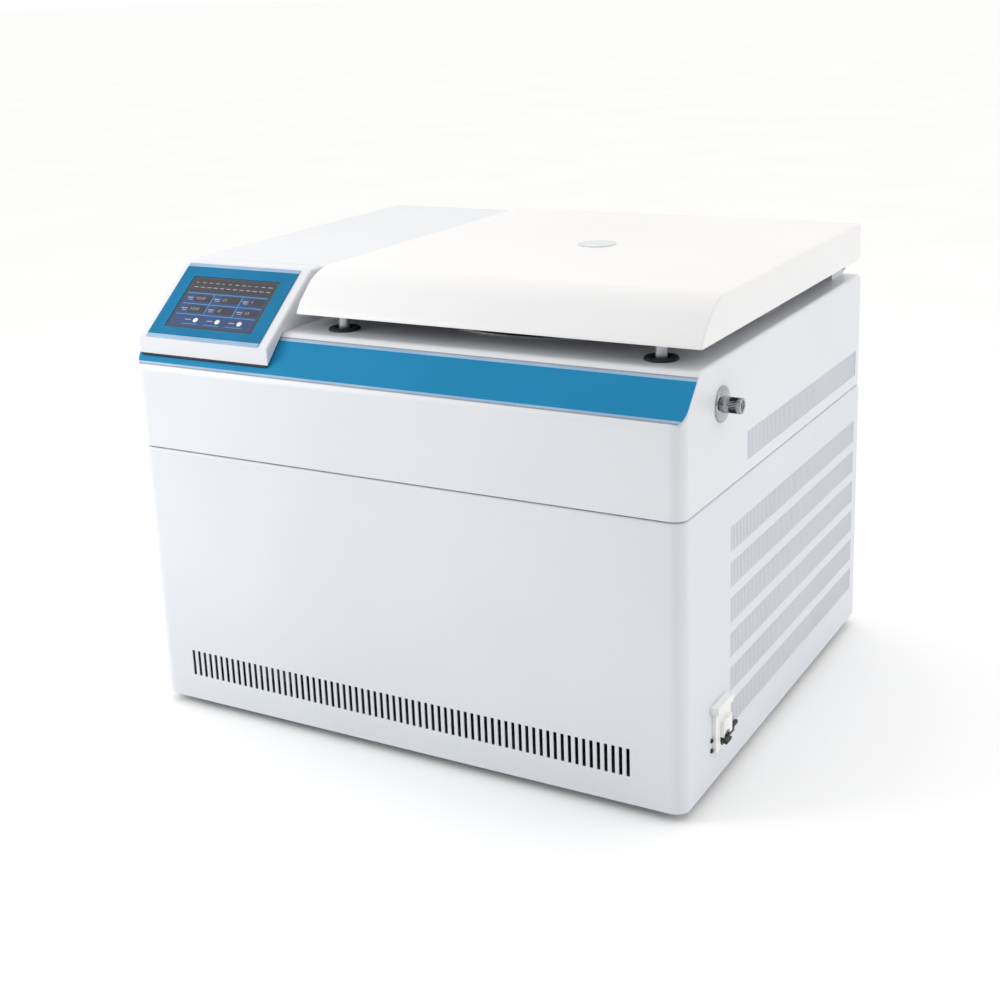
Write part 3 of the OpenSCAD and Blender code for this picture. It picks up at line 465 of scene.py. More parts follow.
holes += [rod(GROMMET_NECK_R, DECK - BORE, DECK + BORE, latch, steps=48) for latch in LATCHES]
holes.append(rod(LOCK_BORE_R, HALF - BORE, HALF + BORE, LOCK, "X", 48))
holes.append(box((HALF - BORE, UPPER_VENT_Y[0], UPPER_VENT_Z[0]),
                 (HALF + BORE, UPPER_VENT_Y[1], UPPER_VENT_Z[1])))
holes.append(sloped_block(fascia_face, -HALF - PUNCH, STRIP[0], HALF + PUNCH, STRIP[1], -RECESS, BORE))
outer = combine(outer, gather(holes), "DIFFERENCE")

# Moulded ABS: white, with a soft satin shine and a very fine grain from the mould. Its faint bluish grey
# tint is painted shade, the same cool cast as on the sheet.
white_abs = finish_of("moulded_white_abs", "#dbdde1", 0.34)
drift(white_abs, noise_in(white_abs, 320), "#d9dbdf", "#dddfe3")
texture(white_abs, noise_in(white_abs, 0.9), 0.012, 0.3, rough=(0.3, 0.42))
piece("upper_moulding", outer, white_abs, "cabinet", ["upper_casing"], crease=28)

# Fascia strip: polycarbonate film, printed blue on its back and stuck into a shallow recess of the slope.
# A silver line is printed along each long edge, and a thin grey line outside it is painted shadow, for the
# shade along the edge of the recess.
FILM_T = 0.8
FILM_GAP = 0.2
INSIDE_CASE = 0.5
LINE_LAP, LINE_T = 0.4, 0.35
SHADOW_LINE_T = 0.3
LINE_EDGES = (5.8, 53.2)
SHADOW_LINE_EDGES = (4.5, 54.6)
plan_column = extruded(plan(SLOPE_Z - PUNCH, INSIDE_CASE), (0, 0, DECK - SLOPE_Z + BEYOND))


def along_fascia(y0, y1, z0, z1):
    """A flat bar on the slope, cut to the rounded outline of the casing."""
    bar = sloped_block(fascia_face, -HALF - PUNCH, y0, HALF + PUNCH, y1, z0, z1)
    return combine(bar, plan_column.copy(), "INTERSECT")


# Polycarbonate film: a deep even blue with a low, spread-out shine.
blue_film = finish_of("blue_polycarbonate_film", "#1a80ad", 0.36, Specular_IOR_Level=0.12)
drift(blue_film, noise_in(blue_film, 140), "#187da9", "#1d83b1")
texture(blue_film, noise_in(blue_film, 0.8), 0.01, 0.3, rough=(0.3, 0.42))
film = along_fascia(STRIP[0] + FILM_GAP, STRIP[1] - FILM_GAP, -RECESS, FILM_T - RECESS)
piece("fascia_film", film, blue_film, "cabinet", ["fascia_strip"], edge=0.15)

# Silver ink: pale and bluish, with a weak metallic glint.
silver_line = finish_of("silver_printed_line", "#93b0cc", 0.3, metallic=0.3)
drift(silver_line, noise_in(silver_line, 60), "#8eabc8", "#9bb8d2")
texture(silver_line, noise_in(silver_line, 0.5), 0.01, 0.2)
trims = [along_fascia(LINE_EDGES[0], STRIP[0] + LINE_LAP, 0, LINE_T),
         along_fascia(STRIP[1] - LINE_LAP, LINE_EDGES[1], 0, LINE_T)]
piece("fascia_trim_lines", gather(trims), silver_line, "cabinet", edge=0.08)

# Painted shadow: a dull grey hairline along the edge of the recess, where the shade falls.
grey_shadow_line = finish_of("grey_painted_shadow_line", "#8f8d90", 0.5)
drift(grey_shadow_line, noise_in(grey_shadow_line, 8), "#8a888b", "#959396")
texture(grey_shadow_line, noise_in(grey_shadow_line, 0.8), 0.02, 0.3)
shadow_lines = [along_fascia(SHADOW_LINE_EDGES[0], LINE_EDGES[0], 0, SHADOW_LINE_T),
         along_fascia(LINE_EDGES[1], SHADOW_LINE_EDGES[1], 0, SHADOW_LINE_T)]
piece("fascia_painted_shadow_lines", gather(shadow_lines), grey_shadow_line, "cabinet", edge=0.08)
plan_column.free()

# Display pod: a moulded wedge, 3 mm thick, that stands over the left end of the strip, with a near-black
# strip under its lip painted in as the shadow there. It has an opening for the screen in its slope and
# butts against the raised deck.
POD_X = (-321.0, -147.0)
POD_FRONT = 10.0
POD_LIP = (404.5, 422.0)
POD_LIP_RISE = 0.4
POD_HEEL = SLOPE_Y - 3
POD_CREST = 98.0
POD_WALL = 3.0
POD_EDGE_R = 2.6
POD_SHADOW = (15.5, 52.0, 0.3, 2.6)
POD_SHADOW_INSET = 1.5
POD_ANGLE = math.atan2(RAISED - POD_LIP[1], POD_CREST - POD_FRONT)
SCREEN = (-295.0, 16.5, -176.0, 89.5)
pod_face = Matrix.Translation(at(0, POD_FRONT, POD_LIP[1])) @ Matrix.Rotation(POD_ANGLE, 4, "X")


def pod_outline(inset):
    """The side outline of the pod, or of the hollow in it when inset is its wall."""
    front, top = POD_FRONT + inset, RAISED - inset
    bend = inset * math.tan(math.pi / 4 - POD_ANGLE / 2)
    back = RAISED_Y + (1 if inset else 0)
    return [(front, POD_LIP[0] + POD_LIP_RISE * inset), (front, POD_LIP[1] - bend),
            (POD_CREST + inset * math.tan(POD_ANGLE / 2), top), (back, top), (back, DECK),
            (POD_HEEL + inset, DECK)]


pod = extruded([at(POD_X[0], y, z) for y, z in pod_outline(0)], (POD_X[1] - POD_X[0], 0, 0))
under = at(0, 0, DECK).z + MM
rounded(pod, [e for e in pod.edges if max(v.co.z for v in e.verts) > under], POD_EDGE_R)
core = extruded([at(POD_X[0] + POD_WALL, y, z) for y, z in pod_outline(POD_WALL)],
                (POD_X[1] - POD_X[0] - 2 * POD_WALL, 0, 0))
pod = combine(pod, core, "DIFFERENCE")
pod = combine(pod, sloped_block(pod_face, *SCREEN, -BORE, PUNCH), "DIFFERENCE")
piece("pod_moulding", pod, white_abs, "cabinet", ["display_pod"], crease=28)

# Moulded rubber: near black and dull, mottled where bloom has dried on it.
rubber = finish_of("black_moulded_rubber", "#1d1e20", 0.62)
drift(rubber, noise_in(rubber, 11), "#191a1c", "#242527")
texture(rubber, noise_in(rubber, 0.7), 0.03, 0.5, rough=(0.55, 0.75))
# Painted shadow: a near-black strip, in the rubber finish, set under the pod's lip where the shade falls.
pod_shadow = sloped_block(fascia_face, POD_X[0] + POD_SHADOW_INSET, POD_SHADOW[0],
                        POD_X[1] - POD_SHADOW_INSET, POD_SHADOW[1], *POD_SHADOW[2:])
piece("pod_painted_shadow_strip", pod_shadow, rubber, "cabinet", edge=0.3)

# Bezel: the same printed film round the screen, on a 1.2 mm plate with rounded corners, and a
# silver line along its upper and its lower edge.
BEZEL = (-312.0, 1.0, -159.0, 108.0)
BEZEL_T = 1.2
BEZEL_R = 0.8
BEZEL_LINE = 5.0
LINE_GAP = 0.3
SCREEN_R = 2.0


def rounded_plate(face, x0, y0, x1, y1, z0, z1, radius):
    """A plate on a sloped face with rounded corners."""
    plate = sloped_block(face, x0, y0, x1, y1, z0, z1)
    out = (face.to_3x3() @ Vector((0, 0, 1))).normalized()
    upright = [e for e in plate.edges
               if abs((e.verts[0].co - e.verts[1].co).normalized().dot(out)) > 0.99]
    rounded(plate, upright, radius, 5)
    return plate


bezel = rounded_plate(pod_face, BEZEL[0], BEZEL[1] + BEZEL_LINE, BEZEL[2], BEZEL[3] - BEZEL_LINE,
                      0, BEZEL_T, BEZEL_R)
bezel = combine(bezel, rounded_plate(pod_face, *SCREEN, -2, 4, SCREEN_R), "DIFFERENCE")

# Bezel film: the strip's blue, a shade deeper and duller.
bezel_blue = finish_of("blue_bezel_film", "#14709b", 0.4, Specular_IOR_Level=0.1)
drift(bezel_blue, noise_in(bezel_blue, 60), "#126d97", "#1774a0")
texture(bezel_blue, noise_in(bezel_blue, 0.8), 0.01, 0.3, rough=(0.34, 0.46))
piece("bezel_film", bezel, bezel_blue, "cabinet", ["display_bezel"], edge=0.25)
line_spans = ((BEZEL[1], BEZEL[1] + BEZEL_LINE - LINE_GAP), (BEZEL[3] - BEZEL_LINE + LINE_GAP, BEZEL[3]))
lines = [rounded_plate(pod_face, BEZEL[0], y0, BEZEL[2], y1, 0, BEZEL_T, BEZEL_R)
         for y0, y1 in line_spans]
piece("bezel_trim_lines", gather(lines), silver_line, "cabinet", edge=0.25)

# Touch screen: a glass plate a little below the bezel, and the page it shows: a dark heading with
# status marks, six value boxes in a pale grid, and three round buttons. Its numerals are generic.
GLASS_Z = BEZEL_T - 0.6
GLASS_T = 3.0
GLASS_R = 1.8
GLASS_GAP = 0.2
LAYER = 0.06
PAGE_Z = (GLASS_Z, GLASS_Z + LAYER)
MARK_Z = (PAGE_Z[1], PAGE_Z[1] + LAYER)
INK_Z = (MARK_Z[1], MARK_Z[1] + LAYER)
SCREEN_W, SCREEN_H = SCREEN[2] - SCREEN[0], SCREEN[3] - SCREEN[1]
HEADING = (4, 52, SCREEN_W - 4, SCREEN_H - 3)
FIELD = (4, 3, SCREEN_W - 4, 51.4)
COLUMNS = [(7, 41), (44, 80), (83, 113)]
ROWS = [(37, 48), (22, 33)]
READINGS = [["4000", "25", "4"], ["3200", "10", "25"]]
LABELS = [(1, 5, 9, 6.4), (3, 2.6, 9, 3.6)]
LABEL_W = 11
UPRIGHT_RULES = [(x, 20, x + 1, 49) for x in (42, 81)]
LEVEL_RULE = (5, 19, SCREEN_W - 5, 20)
KEYS_X = (20, 50, 80)
KEY_RULE, KEY_LABEL, KEY_DOT = (0, 6, 22, 6.8), (2, 11.5, 10, 12.8), (16.5, 12)
KEY_DOT_R = 3.1
STATUS_X = range(8, 112, 9)
DIGIT = (2.1, 3.8, 0.5)
DIGIT_STEP = 3.4
SEGMENTS = {"0": "abcdef", "1": "bc", "2": "abged", "3": "abgcd", "4": "fgbc", "5": "afgcd"}


def on_screen(x0, y0, x1, y1, z):
    """A thin flat area of the page, measured from the screen's lower left corner."""
    return sloped_block(pod_face, SCREEN[0] + x0, SCREEN[1] + y0, SCREEN[0] + x1, SCREEN[1] + y1, *z)


def marked(area, x, y, z=INK_Z):
    """An area of the page, moved by x and y."""
    return on_screen(x + area[0], y + area[1], x + area[2], y + area[3], z)


def numeral(digit, x, y):
    """The lit bars of one seven-bar numeral."""
    w, h, t = DIGIT
    bars = {"a": (0, h - t, w, h), "b": (w - t, h / 2, w, h), "c": (w - t, 0, w, h / 2),
            "d": (0, 0, w, t), "e": (0, 0, t, h / 2), "f": (0, h / 2, t, h),
            "g": (0, (h - t) / 2, w, (h + t) / 2)}
    return [marked(bars[s], x, y) for s in SEGMENTS[digit]]


# Screen glass: almost black, with a hard clear gloss over it.
glass = finish_of("black_screen_glass", "#0e1420", 0.08, Coat_Weight=0.6, Coat_Roughness=0.04)
drift(glass, noise_in(glass, 40), "#0c111c", "#121a28")
texture(glass, noise_in(glass, 18), 0.01, 0.05)
screen_glass = rounded_plate(pod_face, SCREEN[0] + GLASS_GAP, SCREEN[1] + GLASS_GAP,
                             SCREEN[2] - GLASS_GAP, SCREEN[3] - GLASS_GAP,
                             GLASS_Z - GLASS_T, GLASS_Z, GLASS_R)
piece("screen_glass", screen_glass, glass, "cabinet", ["touch_screen"], edge=0.2)


def lit(name, low, high):
    """A lit area of the display: two close shades behind glass, glowing a little."""
    made = finish_of(name, low, 0.3, Emission_Color=linear(low), Emission_Strength=0.2)
    drift(made, noise_in(made, 2.5), low, high)
    return made


grid, boxes, ink, buttons = [], [], [], []
for row, (y0, y1) in enumerate(ROWS):
    grid.append(on_screen(5, y1 + 0.8, SCREEN_W - 5, y1 + 1.8, MARK_Z))
    for column, (x0, x1) in enumerate(COLUMNS):
        boxes.append(on_screen(x0 + LABEL_W, y0 + 1, x1, y1 - 1, MARK_Z))
        ink += [marked(label, x0, y0) for label in LABELS]
        for place, digit in enumerate(READINGS[row][column]):
            ink += numeral(digit, x0 + LABEL_W + 2 + place * DIGIT_STEP, (y0 + y1 - DIGIT[1]) / 2)
grid += [on_screen(*rule, MARK_Z) for rule in (*UPRIGHT_RULES, LEVEL_RULE)]
for x in KEYS_X:
    grid.append(marked(KEY_RULE, x, 0, MARK_Z))
    ink.append(marked(KEY_LABEL, x, 0))
    dot = bmesh.new()
    middle = Vector((SCREEN[0] + x + KEY_DOT[0], SCREEN[1] + KEY_DOT[1], MARK_Z[1] + LAYER / 2)) * MM
    bmesh.ops.create_cone(dot, cap_ends=True, segments=32, radius1=KEY_DOT_R * MM,
                          radius2=KEY_DOT_R * MM, depth=0.1 * MM,
                          matrix=pod_face @ Matrix.Translation(middle))
    buttons.append(dot)
for x in STATUS_X:
    ink.append(on_screen(x, 57.5, x + 4 + x % 3, 58.6, INK_Z))
    ink.append(on_screen(x, 64.0, x + 3 + x % 4, 65.0, INK_Z))
for name, parts, low, high in (
    ("screen_heading", [on_screen(*HEADING, PAGE_Z)], "#28272f", "#2e2d35"),
    ("screen_field", [on_screen(*FIELD, PAGE_Z)], "#193763", "#1d3c6b"),
    ("screen_grid", grid, "#3f7da9", "#4688b4"),
    ("screen_boxes", boxes, "#24232a", "#2a2930"),
    ("screen_ink", ink, "#8a888b", "#979598"),
    ("screen_buttons", buttons, "#c9ccce", "#d2d5d7"),
):
    piece(name, gather(parts), lit("lit_" + name, low, high), "cabinet")

# Lid: one painted moulding that bends down to a lip along its front, open underneath, where the
# stainless liner closes it. It is bored for the sight port.
lid_low, lid_high = corners_of("lid_shell")
LID_WALL = 3.0
LID_TOP_T = 5.0
LID_EDGE_R, CREST_R = 3.2, 22.0
PORT_R = 19.0
LINER_Z = 447.0
LID_FACE = [(0.0, 2.0), (7.0, 12.0), (40.0, 42.0)]
crest = lid_low.y + LID_FACE[2][0]
shell_outline = [(lid_low.y, lid_low.z)] + [(lid_low.y + y, lid_low.z + z) for y, z in LID_FACE]
shell_outline += [(lid_high.y, lid_high.z), (lid_high.y, lid_low.z)]
shell = extruded([at(lid_low.x, y, z) for y, z in shell_outline], (lid_high.x - lid_low.x, 0, 0))
crest_edge = [e for e in shell.edges
              if all((v.co - at(0, crest, lid_high.z)).yz.length < MM for v in e.verts)]
rounded(shell, crest_edge, CREST_R, 10)
skirt = at(0, 0, lid_low.z).z + 0.1 * MM
lid_edges = [e for e in shell.edges
             if e.calc_face_angle(0.0) > math.radians(20) and max(v.co.z for v in e.verts) > skirt]
rounded(shell, lid_edges, LID_EDGE_R, 4)
ceiling = lid_high.z - LID_TOP_T
inner = [(lid_low.y + LID_WALL, lid_low.z - 2), (lid_low.y + LID_WALL, lid_low.z + LID_FACE[0][1]),
         (lid_low.y + LID_FACE[1][0] + LID_WALL, lid_low.z + LID_FACE[1][1]), (crest + 2, ceiling),
         (lid_high.y - LID_WALL, ceiling), (lid_high.y - LID_WALL, lid_low.z - 2)]
inside = extruded([at(lid_low.x + LID_WALL, y, z) for y, z in inner],
                  (lid_high.x - lid_low.x - 2 * LID_WALL, 0, 0))
shell = combine(shell, inside, "DIFFERENCE")
shell = combine(shell, rod(PORT_R, lid_low.z, lid_high.z + PUNCH, ROTOR_AXIS), "DIFFERENCE")

# Painted moulding: satin, with a very fine grain. Its white is warmer and brighter than the casing's, and
# that difference is painted light: the extra light from above on the lid's top and slope.
lid_white = finish_of("painted_lid_moulding", "#e9e8e8", 0.36)
drift(lid_white, noise_in(lid_white, 280), "#e7e6e6", "#ebeaea")
texture(lid_white, noise_in(lid_white, 0.9), 0.012, 0.3, rough=(0.3, 0.44))
piece("lid_moulding", shell, lid_white, "lid", ["lid_shell"], crease=28)

# Sight port: a turned plug of frosted polycarbonate, pushed into the lid from above. It has a thin
# flange on the lid, and a tube down to the liner.
PORT_TUBE_R = PORT_R - 2
PORT_SKIN_R = PORT_R - 0.1
PORT_PROFILE = [
    (0, lid_high.z - 4), (PORT_TUBE_R, lid_high.z - 4), (PORT_TUBE_R, LINER_Z + 3), (0, LINER_Z + 3),
    (0, LINER_Z), (PORT_SKIN_R, LINER_Z), (PORT_SKIN_R, lid_high.z), (PORT_R + 2.5, lid_high.z),
    (PORT_R + 2.3, lid_high.z + 0.9), (PORT_R - 1, lid_high.z + 1), (0, lid_high.z + 0.4),
]
# Frosted polycarbonate: milky, with some light let through and a soft shine.
frosted = finish_of("frosted_polycarbonate", "#eef1f4", 0.3, IOR=1.58, Transmission_Weight=0.3)
drift(frosted, noise_in(frosted, 14), "#ebeef2", "#f1f3f5")
texture(frosted, noise_in(frosted, 1.0), 0.02, 0.3)
piece("sight_port_window", turned(PORT_PROFILE, ROTOR_AXIS), frosted, "lid", ["sight_port"])


# Lid liner: deep-drawn stainless sheet that closes the lid from below, with a round disc in the
# middle that presses on the gasket.
def cad_copy(node):
    """A merged copy of a CAD node's mesh, with its flat faces joined up."""
    mesh = bmesh.new()
    mesh.from_mesh(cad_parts[node].data)
    bmesh.ops.remove_doubles(mesh, verts=mesh.verts, dist=0.005 * MM)
    bmesh.ops.dissolve_limit(mesh, angle_limit=math.radians(0.4), verts=mesh.verts, edges=mesh.edges)
    return mesh


def softened(name, node, material, body, edge, segments=2):
    """A piece with the shape of a CAD node and softened edges."""
    piece(name, cad_copy(node), material, body, [node], edge=edge, segments=segments)


# Brushed stainless: long fine scratches across the sheet, which stretch each highlight. They are
# drawn coarser than real brushing, so that they show.
stainless = finish_of("brushed_stainless_steel", "#c6c8ca", 0.28, metallic=1.0)
drift(stainless, noise_in(stainless, 30), "#c0c2c5", "#cccdcf")
texture(stainless, noise_in(stainless, 0.6, 2.0, (0.03, 1.0, 1.0)), 0.01, 0.4, rough=(0.22, 0.38))
softened("lid_liner_plate", "lid_liner", stainless, "lid", 0.4)

# Latches: two plated pins under the front of the lid drop through black rubber grommets in the deck,
# where steel hooks, each turned by its own small motor, take hold of their necks.
PIN_PROFILE = [(0, 405), (2.5, 405), (5.6, 407.6), (6, 408.5), (6, 410.6), (5.6, 411), (3, 411),
               (3, 419), (5.6, 419), (6, 419.4), (6, 447.5), (8.5, 448), (10.6, 449), (11, 450),
               (11, 453), (0, 453)]
GROMMET_PROFILE = [(8.5, 428.6), (9.1, 428), (12.4, 428), (GROMMET_NECK_R, 428.6),
                   (GROMMET_NECK_R, DECK), (16.6, DECK), (GROMMET_R, 434.4), (GROMMET_R, 435.4),
                   (15.8, 436.7), (13.6, 437), (10.4, 437), (8.9, 436.4), (8.5, 435.4), (8.5, 428.6)]
# Nickel plate: an even light grey, brighter than zinc.
pin_grey = finish_of("nickel_plated_steel", "#b9bbbf", 0.3, metallic=0.75)
drift(pin_grey, noise_in(pin_grey, 9), "#b3b5b9", "#c1c3c6")
texture(pin_grey, noise_in(pin_grey, 0.5), 0.01, 0.3)
pins = [turned(PIN_PROFILE, latch, steps=48) for latch in LATCHES]
piece("lid_latch_pins", gather(pins), pin_grey, "lid", ["latch_pins"])
grommets = [turned(GROMMET_PROFILE, latch, steps=48) for latch in LATCHES]
piece("deck_grommets", gather(grommets), rubber, "cabinet", ["latch_grommets"])

# Zinc plate on steel: bluish, cloudy and half dull.
zinc = finish_of("zinc_plated_steel", "#b8bcc0", 0.38, metallic=0.9)
drift(zinc, noise_in(zinc, 22), "#afb3b8", "#c2c5c8")
texture(zinc, noise_in(zinc, 3.0), 0.01, 0.3, rough=(0.3, 0.46))
softened("latch_works", "latch_housings", zinc, "cabinet", 0.4)
for hand in ("left", "right"):
    softened(f"hook_{hand}", f"latch_hook_{hand}", zinc, f"latch_{hand}", 0.4)

# Lid hinge: white cast brackets on the deck and arms on the lid, on one steel shaft. A close-wound
# spring at each end carries most of the lid's weight.
SPRING_LENGTH = 108.0
WIRE_R = 1.35
COIL_R = 6.1
COIL_TURNS = 38
COIL_STEPS = 20
WIRE_SIDES = 8
spring_low, spring_high = corners_of("lid_springs")
# Paint on a casting: white and dull satin, uneven from the skin of the casting.
hinge_white = finish_of("white_painted_casting", "#e3e5e8", 0.46)
drift(hinge_white, noise_in(hinge_white, 45), "#dfe1e4", "#e7e9eb")
texture(hinge_white, noise_in(hinge_white, 1.1), 0.03, 0.4)
softened("hinge_cheeks", "hinge_brackets", hinge_white, "cabinet", 0.9, 3)
softened("hinge_knuckles", "hinge_arms", hinge_white, "lid", 0.7, 3)
softened("hinge_rod", "hinge_shaft", stainless, "cabinet", 0.6)


def coil_spring(x0):
    """A close-wound spring along the hinge shaft, from x0 towards the right."""
    mesh = bmesh.new()
    centre = at(x0 + WIRE_R, (spring_low.y + spring_high.y) / 2, (spring_low.z + spring_high.z) / 2)
    start = Matrix.Translation(centre + Vector((0, 0, COIL_R * MM))) @ TURNS["Y"]
    wire = bmesh.ops.create_circle(mesh, segments=WIRE_SIDES, radius=WIRE_R * MM, matrix=start)
    loop = list({e for v in wire["verts"] for e in v.link_edges})
    advance = (SPRING_LENGTH - 2 * WIRE_R) * MM / (COIL_TURNS * COIL_STEPS)
    bmesh.ops.spin(mesh, geom=wire["verts"] + loop, cent=centre, axis=(1, 0, 0), dvec=(advance, 0, 0),
                   angle=math.tau * COIL_TURNS, steps=COIL_TURNS * COIL_STEPS, use_merge=False)
    bmesh.ops.holes_fill(mesh, edges=mesh.edges, sides=WIRE_SIDES)
    bmesh.ops.recalc_face_normals(mesh, faces=mesh.faces)
    return mesh


# Oiled spring steel: dark grey, with a thin bright line along each turn.
spring_steel = finish_of("oiled_spring_steel", "#5c5f63", 0.34, metallic=0.9)
drift(spring_steel, noise_in(spring_steel, 12), "#54575b", "#686b6f")
texture(spring_steel, noise_in(spring_steel, 0.8), 0.01, 0.3)
springs = [coil_spring(spring_low.x), coil_spring(spring_high.x - SPRING_LENGTH)]
piece("hinge_springs", gather(springs), spring_steel, "cabinet", ["lid_springs"])

# Key lock on the right side: a chromed rosette and barrel, screwed through the casing, with a dark
# knurled band, a ring at its end, and the steel plug that the key turns.
LOCK_PROFILE = [(5.6, 8), (5.6, 20.6), (6.1, 21), (7.6, 21), (8, 20.6), (8, 17.4), (7.6, 17), (7.2, 17),
                (7.0, 16.6), (7.0, 8.4), (7.2, 8), (8, 8), (8.4, 3.4), (15.2, 3), (17.4, 2), (18, 1),
                (18, 0), (12, -4), (12, -8), (8, -8), (8, -18), (5.6, -18), (5.6, 8)]
KNURLS = 28
KNURL_X = (8.8, 16.2)
KNURL_R = (6.8, 7.7)
KNURL_HALF_W = 0.32
# Polished chrome: a mirror, which shows the white room above it and the dark below.
chrome = finish_of("polished_chrome", "#a3a5a8", 0.12, metallic=1.0)
drift(chrome, noise_in(chrome, 10), "#9ea0a3", "#a9abae")
texture(chrome, noise_in(chrome, 2.0), 0.004, 0.15)
barrel = turned([(r, h + HALF) for r, h in LOCK_PROFILE], LOCK, "X", 64)
piece("lock_housing", barrel, chrome, "cabinet", ["lock_barrel"])

# Blackened steel: dark ridges, each with a thin light along its top.
knurling = finish_of("blackened_knurled_steel", "#2b2c30", 0.34, metallic=0.6)
drift(knurling, noise_in(knurling, 3), "#27282b", "#333438")
texture(knurling, noise_in(knurling, 0.5), 0.02, 0.4)
ridges = []
lock_middle = Matrix.Translation(at(*LOCK))
for i in range(KNURLS):
    ridge = box((HALF + KNURL_X[0], LOCK[1] - KNURL_HALF_W, LOCK[2] + KNURL_R[0]),
                (HALF + KNURL_X[1], LOCK[1] + KNURL_HALF_W, LOCK[2] + KNURL_R[1]))
    turn = Matrix.Rotation(math.tau * i / KNURLS, 4, "X")
    bmesh.ops.transform(ridge, matrix=lock_middle @ turn @ lock_middle.inverted(), verts=ridge.verts)
    ridges.append(ridge)
piece("lock_knurling", gather(ridges), knurling, "cabinet", edge=0.12, segments=1)

# Turned tool steel: mid grey and finely grained.
plug_steel = finish_of("turned_tool_steel", "#8d8f93", 0.3, metallic=1.0)
drift(plug_steel, noise_in(plug_steel, 5), "#85878b", "#97999d")
texture(plug_steel, noise_in(plug_steel, 0.4), 0.006, 0.3)
softened("key_plug_face", "lock_plug", plug_steel, "key_plug", 0.3)

# Mains breaker low on the right side: a moulded stepped body let into the sheet, a rain hood over it, a
# black toggle, and dark bars that run back from the toggle, painted in as the shadow in the gap under the
# breaker's nose.
NOSE_SHADOW_BARS = [((HALF + 0.2, 102, 39), (HALF + 6, 118, 45)), ((HALF + 0.2, 119, 40), (HALF + 4, 133, 44))]
# Urea moulding: hard, slightly glossy, and a warmer white than the sheet.
breaker_white = finish_of("moulded_urea_white", "#f1f1ef", 0.4)
drift(breaker_white, noise_in(breaker_white, 24), "#eeeeec", "#f4f4f2")
texture(breaker_white, noise_in(breaker_white, 0.8), 0.015, 0.3)
softened("breaker_case", "breaker_body", breaker_white, "cabinet", 0.9, 3)
softened("breaker_rain_hood", "breaker_hood", breaker_white, "cabinet", 0.7, 3)

# Glass-filled nylon: near black, satin, with the fine grain of its fibres.
black_plastic = finish_of("black_glass_filled_nylon", "#1c1d20", 0.42)
drift(black_plastic, noise_in(black_plastic, 16), "#191a1d", "#232428")
texture(black_plastic, noise_in(black_plastic, 0.8), 0.02, 0.4, rough=(0.36, 0.52))
softened("breaker_lever", "breaker_toggle", black_plastic, "breaker_switch", 0.7, 3)
# Painted shadow: black bars where the gap under the breaker's nose lies in shade.
nose_shadow_bars = [box(low, high) for low, high in NOSE_SHADOW_BARS]
piece("breaker_nose_shadow_bar", gather(nose_shadow_bars), black_plastic, "cabinet", edge=0.8, segments=3)

# Feet: four moulded rubber pucks, chamfered where they meet the bench and grooved round the middle,
# each bolted up into the base plate.
feet_low, feet_high = corners_of("rubber_feet")
FOOT_R = 20.0
FOOT_PROFILE = [(0, 0.8), (9, 0.8), (10, 0), (17.6, 0), (18.6, 0.5), (FOOT_R, 2.4), (FOOT_R, 5.2),
                (19.4, 5.8), (19.4, 6.4), (FOOT_R, 7), (FOOT_R, 9.4), (19.4, 10), (0, 10)]
foot_profile = [(r, h + feet_low.z) for r, h in FOOT_PROFILE]
feet = [turned(foot_profile, (x, y, 0), steps=48)
        for x in (feet_low.x + FOOT_R, feet_high.x - FOOT_R)
        for y in (feet_low.y + FOOT_R, feet_high.y - FOOT_R)]
piece("feet_pucks", gather(feet), rubber, "cabinet", ["rubber_feet"])

# Back of the casing: a flat sheet, coated like the rest, with an air grille punched in it. Pan-head
# screws hold it, and the mains inlet and the condensate spout come out of it.
PAN_HEAD = [(0, 0.7), (1.3, 0.7), (1.3, 2.0), (2.6, 1.8), (3.6, 1.2), (4, 0.4), (4, 0), (0, 0)]
SMALL_HEAD = [(0, 0.8), (0.9, 0.8), (0.9, 2.0), (1.8, 1.7), (2.4, 0.9), (2.5, 0), (0, 0)]
BACK_SCREWS = [(x, 0, z) for x in (-300, -100, 100, 300) for z in (14, 284)]
BREAKER_SCREWS = [(0, 69, z) for z in (38, 49)]
softened("back_sheet", "rear_panel", powder_coat, "cabinet", 0.3)
heads = [turned([(r, h + DEPTH) for r, h in PAN_HEAD], place, "Y", 24) for place in BACK_SCREWS]
piece("panel_screws", gather(heads), zinc, "cabinet", ["casing_screws"])
heads = [turned([(r, h + HALF) for r, h in SMALL_HEAD], place, "X", 24) for place in BREAKER_SCREWS]
piece("breaker_screws", gather(heads), knurling, "cabinet")
softened("mains_inlet", "power_inlet", black_plastic, "cabinet", 0.6)

# Grey PVC: an even mid grey with a dull shine.
spout_grey = finish_of("grey_pvc", "#8f9396", 0.48)
drift(spout_grey, noise_in(spout_grey, 12), "#898d90", "#979b9e")
texture(spout_grey, noise_in(spout_grey, 0.9), 0.02, 0.3)
softened("condensate_spout", "drain_spout", spout_grey, "cabinet", 0.5)

# Rotor chamber: a deep-drawn stainless bowl with a rolled rim, a black rubber gasket on the rim, and
# a ribbed rubber boot round the drive shaft.
BOWL_RIM = 9.0
BOWL_R = BOWL_FLANGE_R - BOWL_RIM
BOWL_CORNER = 22.0
BOWL_T = 1.5
BOWL_HOLE_R = 30.0
CORNER_STEPS = 8
gasket_low, gasket_high = corners_of("chamber_gasket")
BEAD_R = 4.0
BEAD_FOOT = 0.8
BEAD_STEPS = 12
GASKET_R = (gasket_high.x - gasket_low.x) / 2 - BEAD_R
GASKET_Z = gasket_high.z - BEAD_R


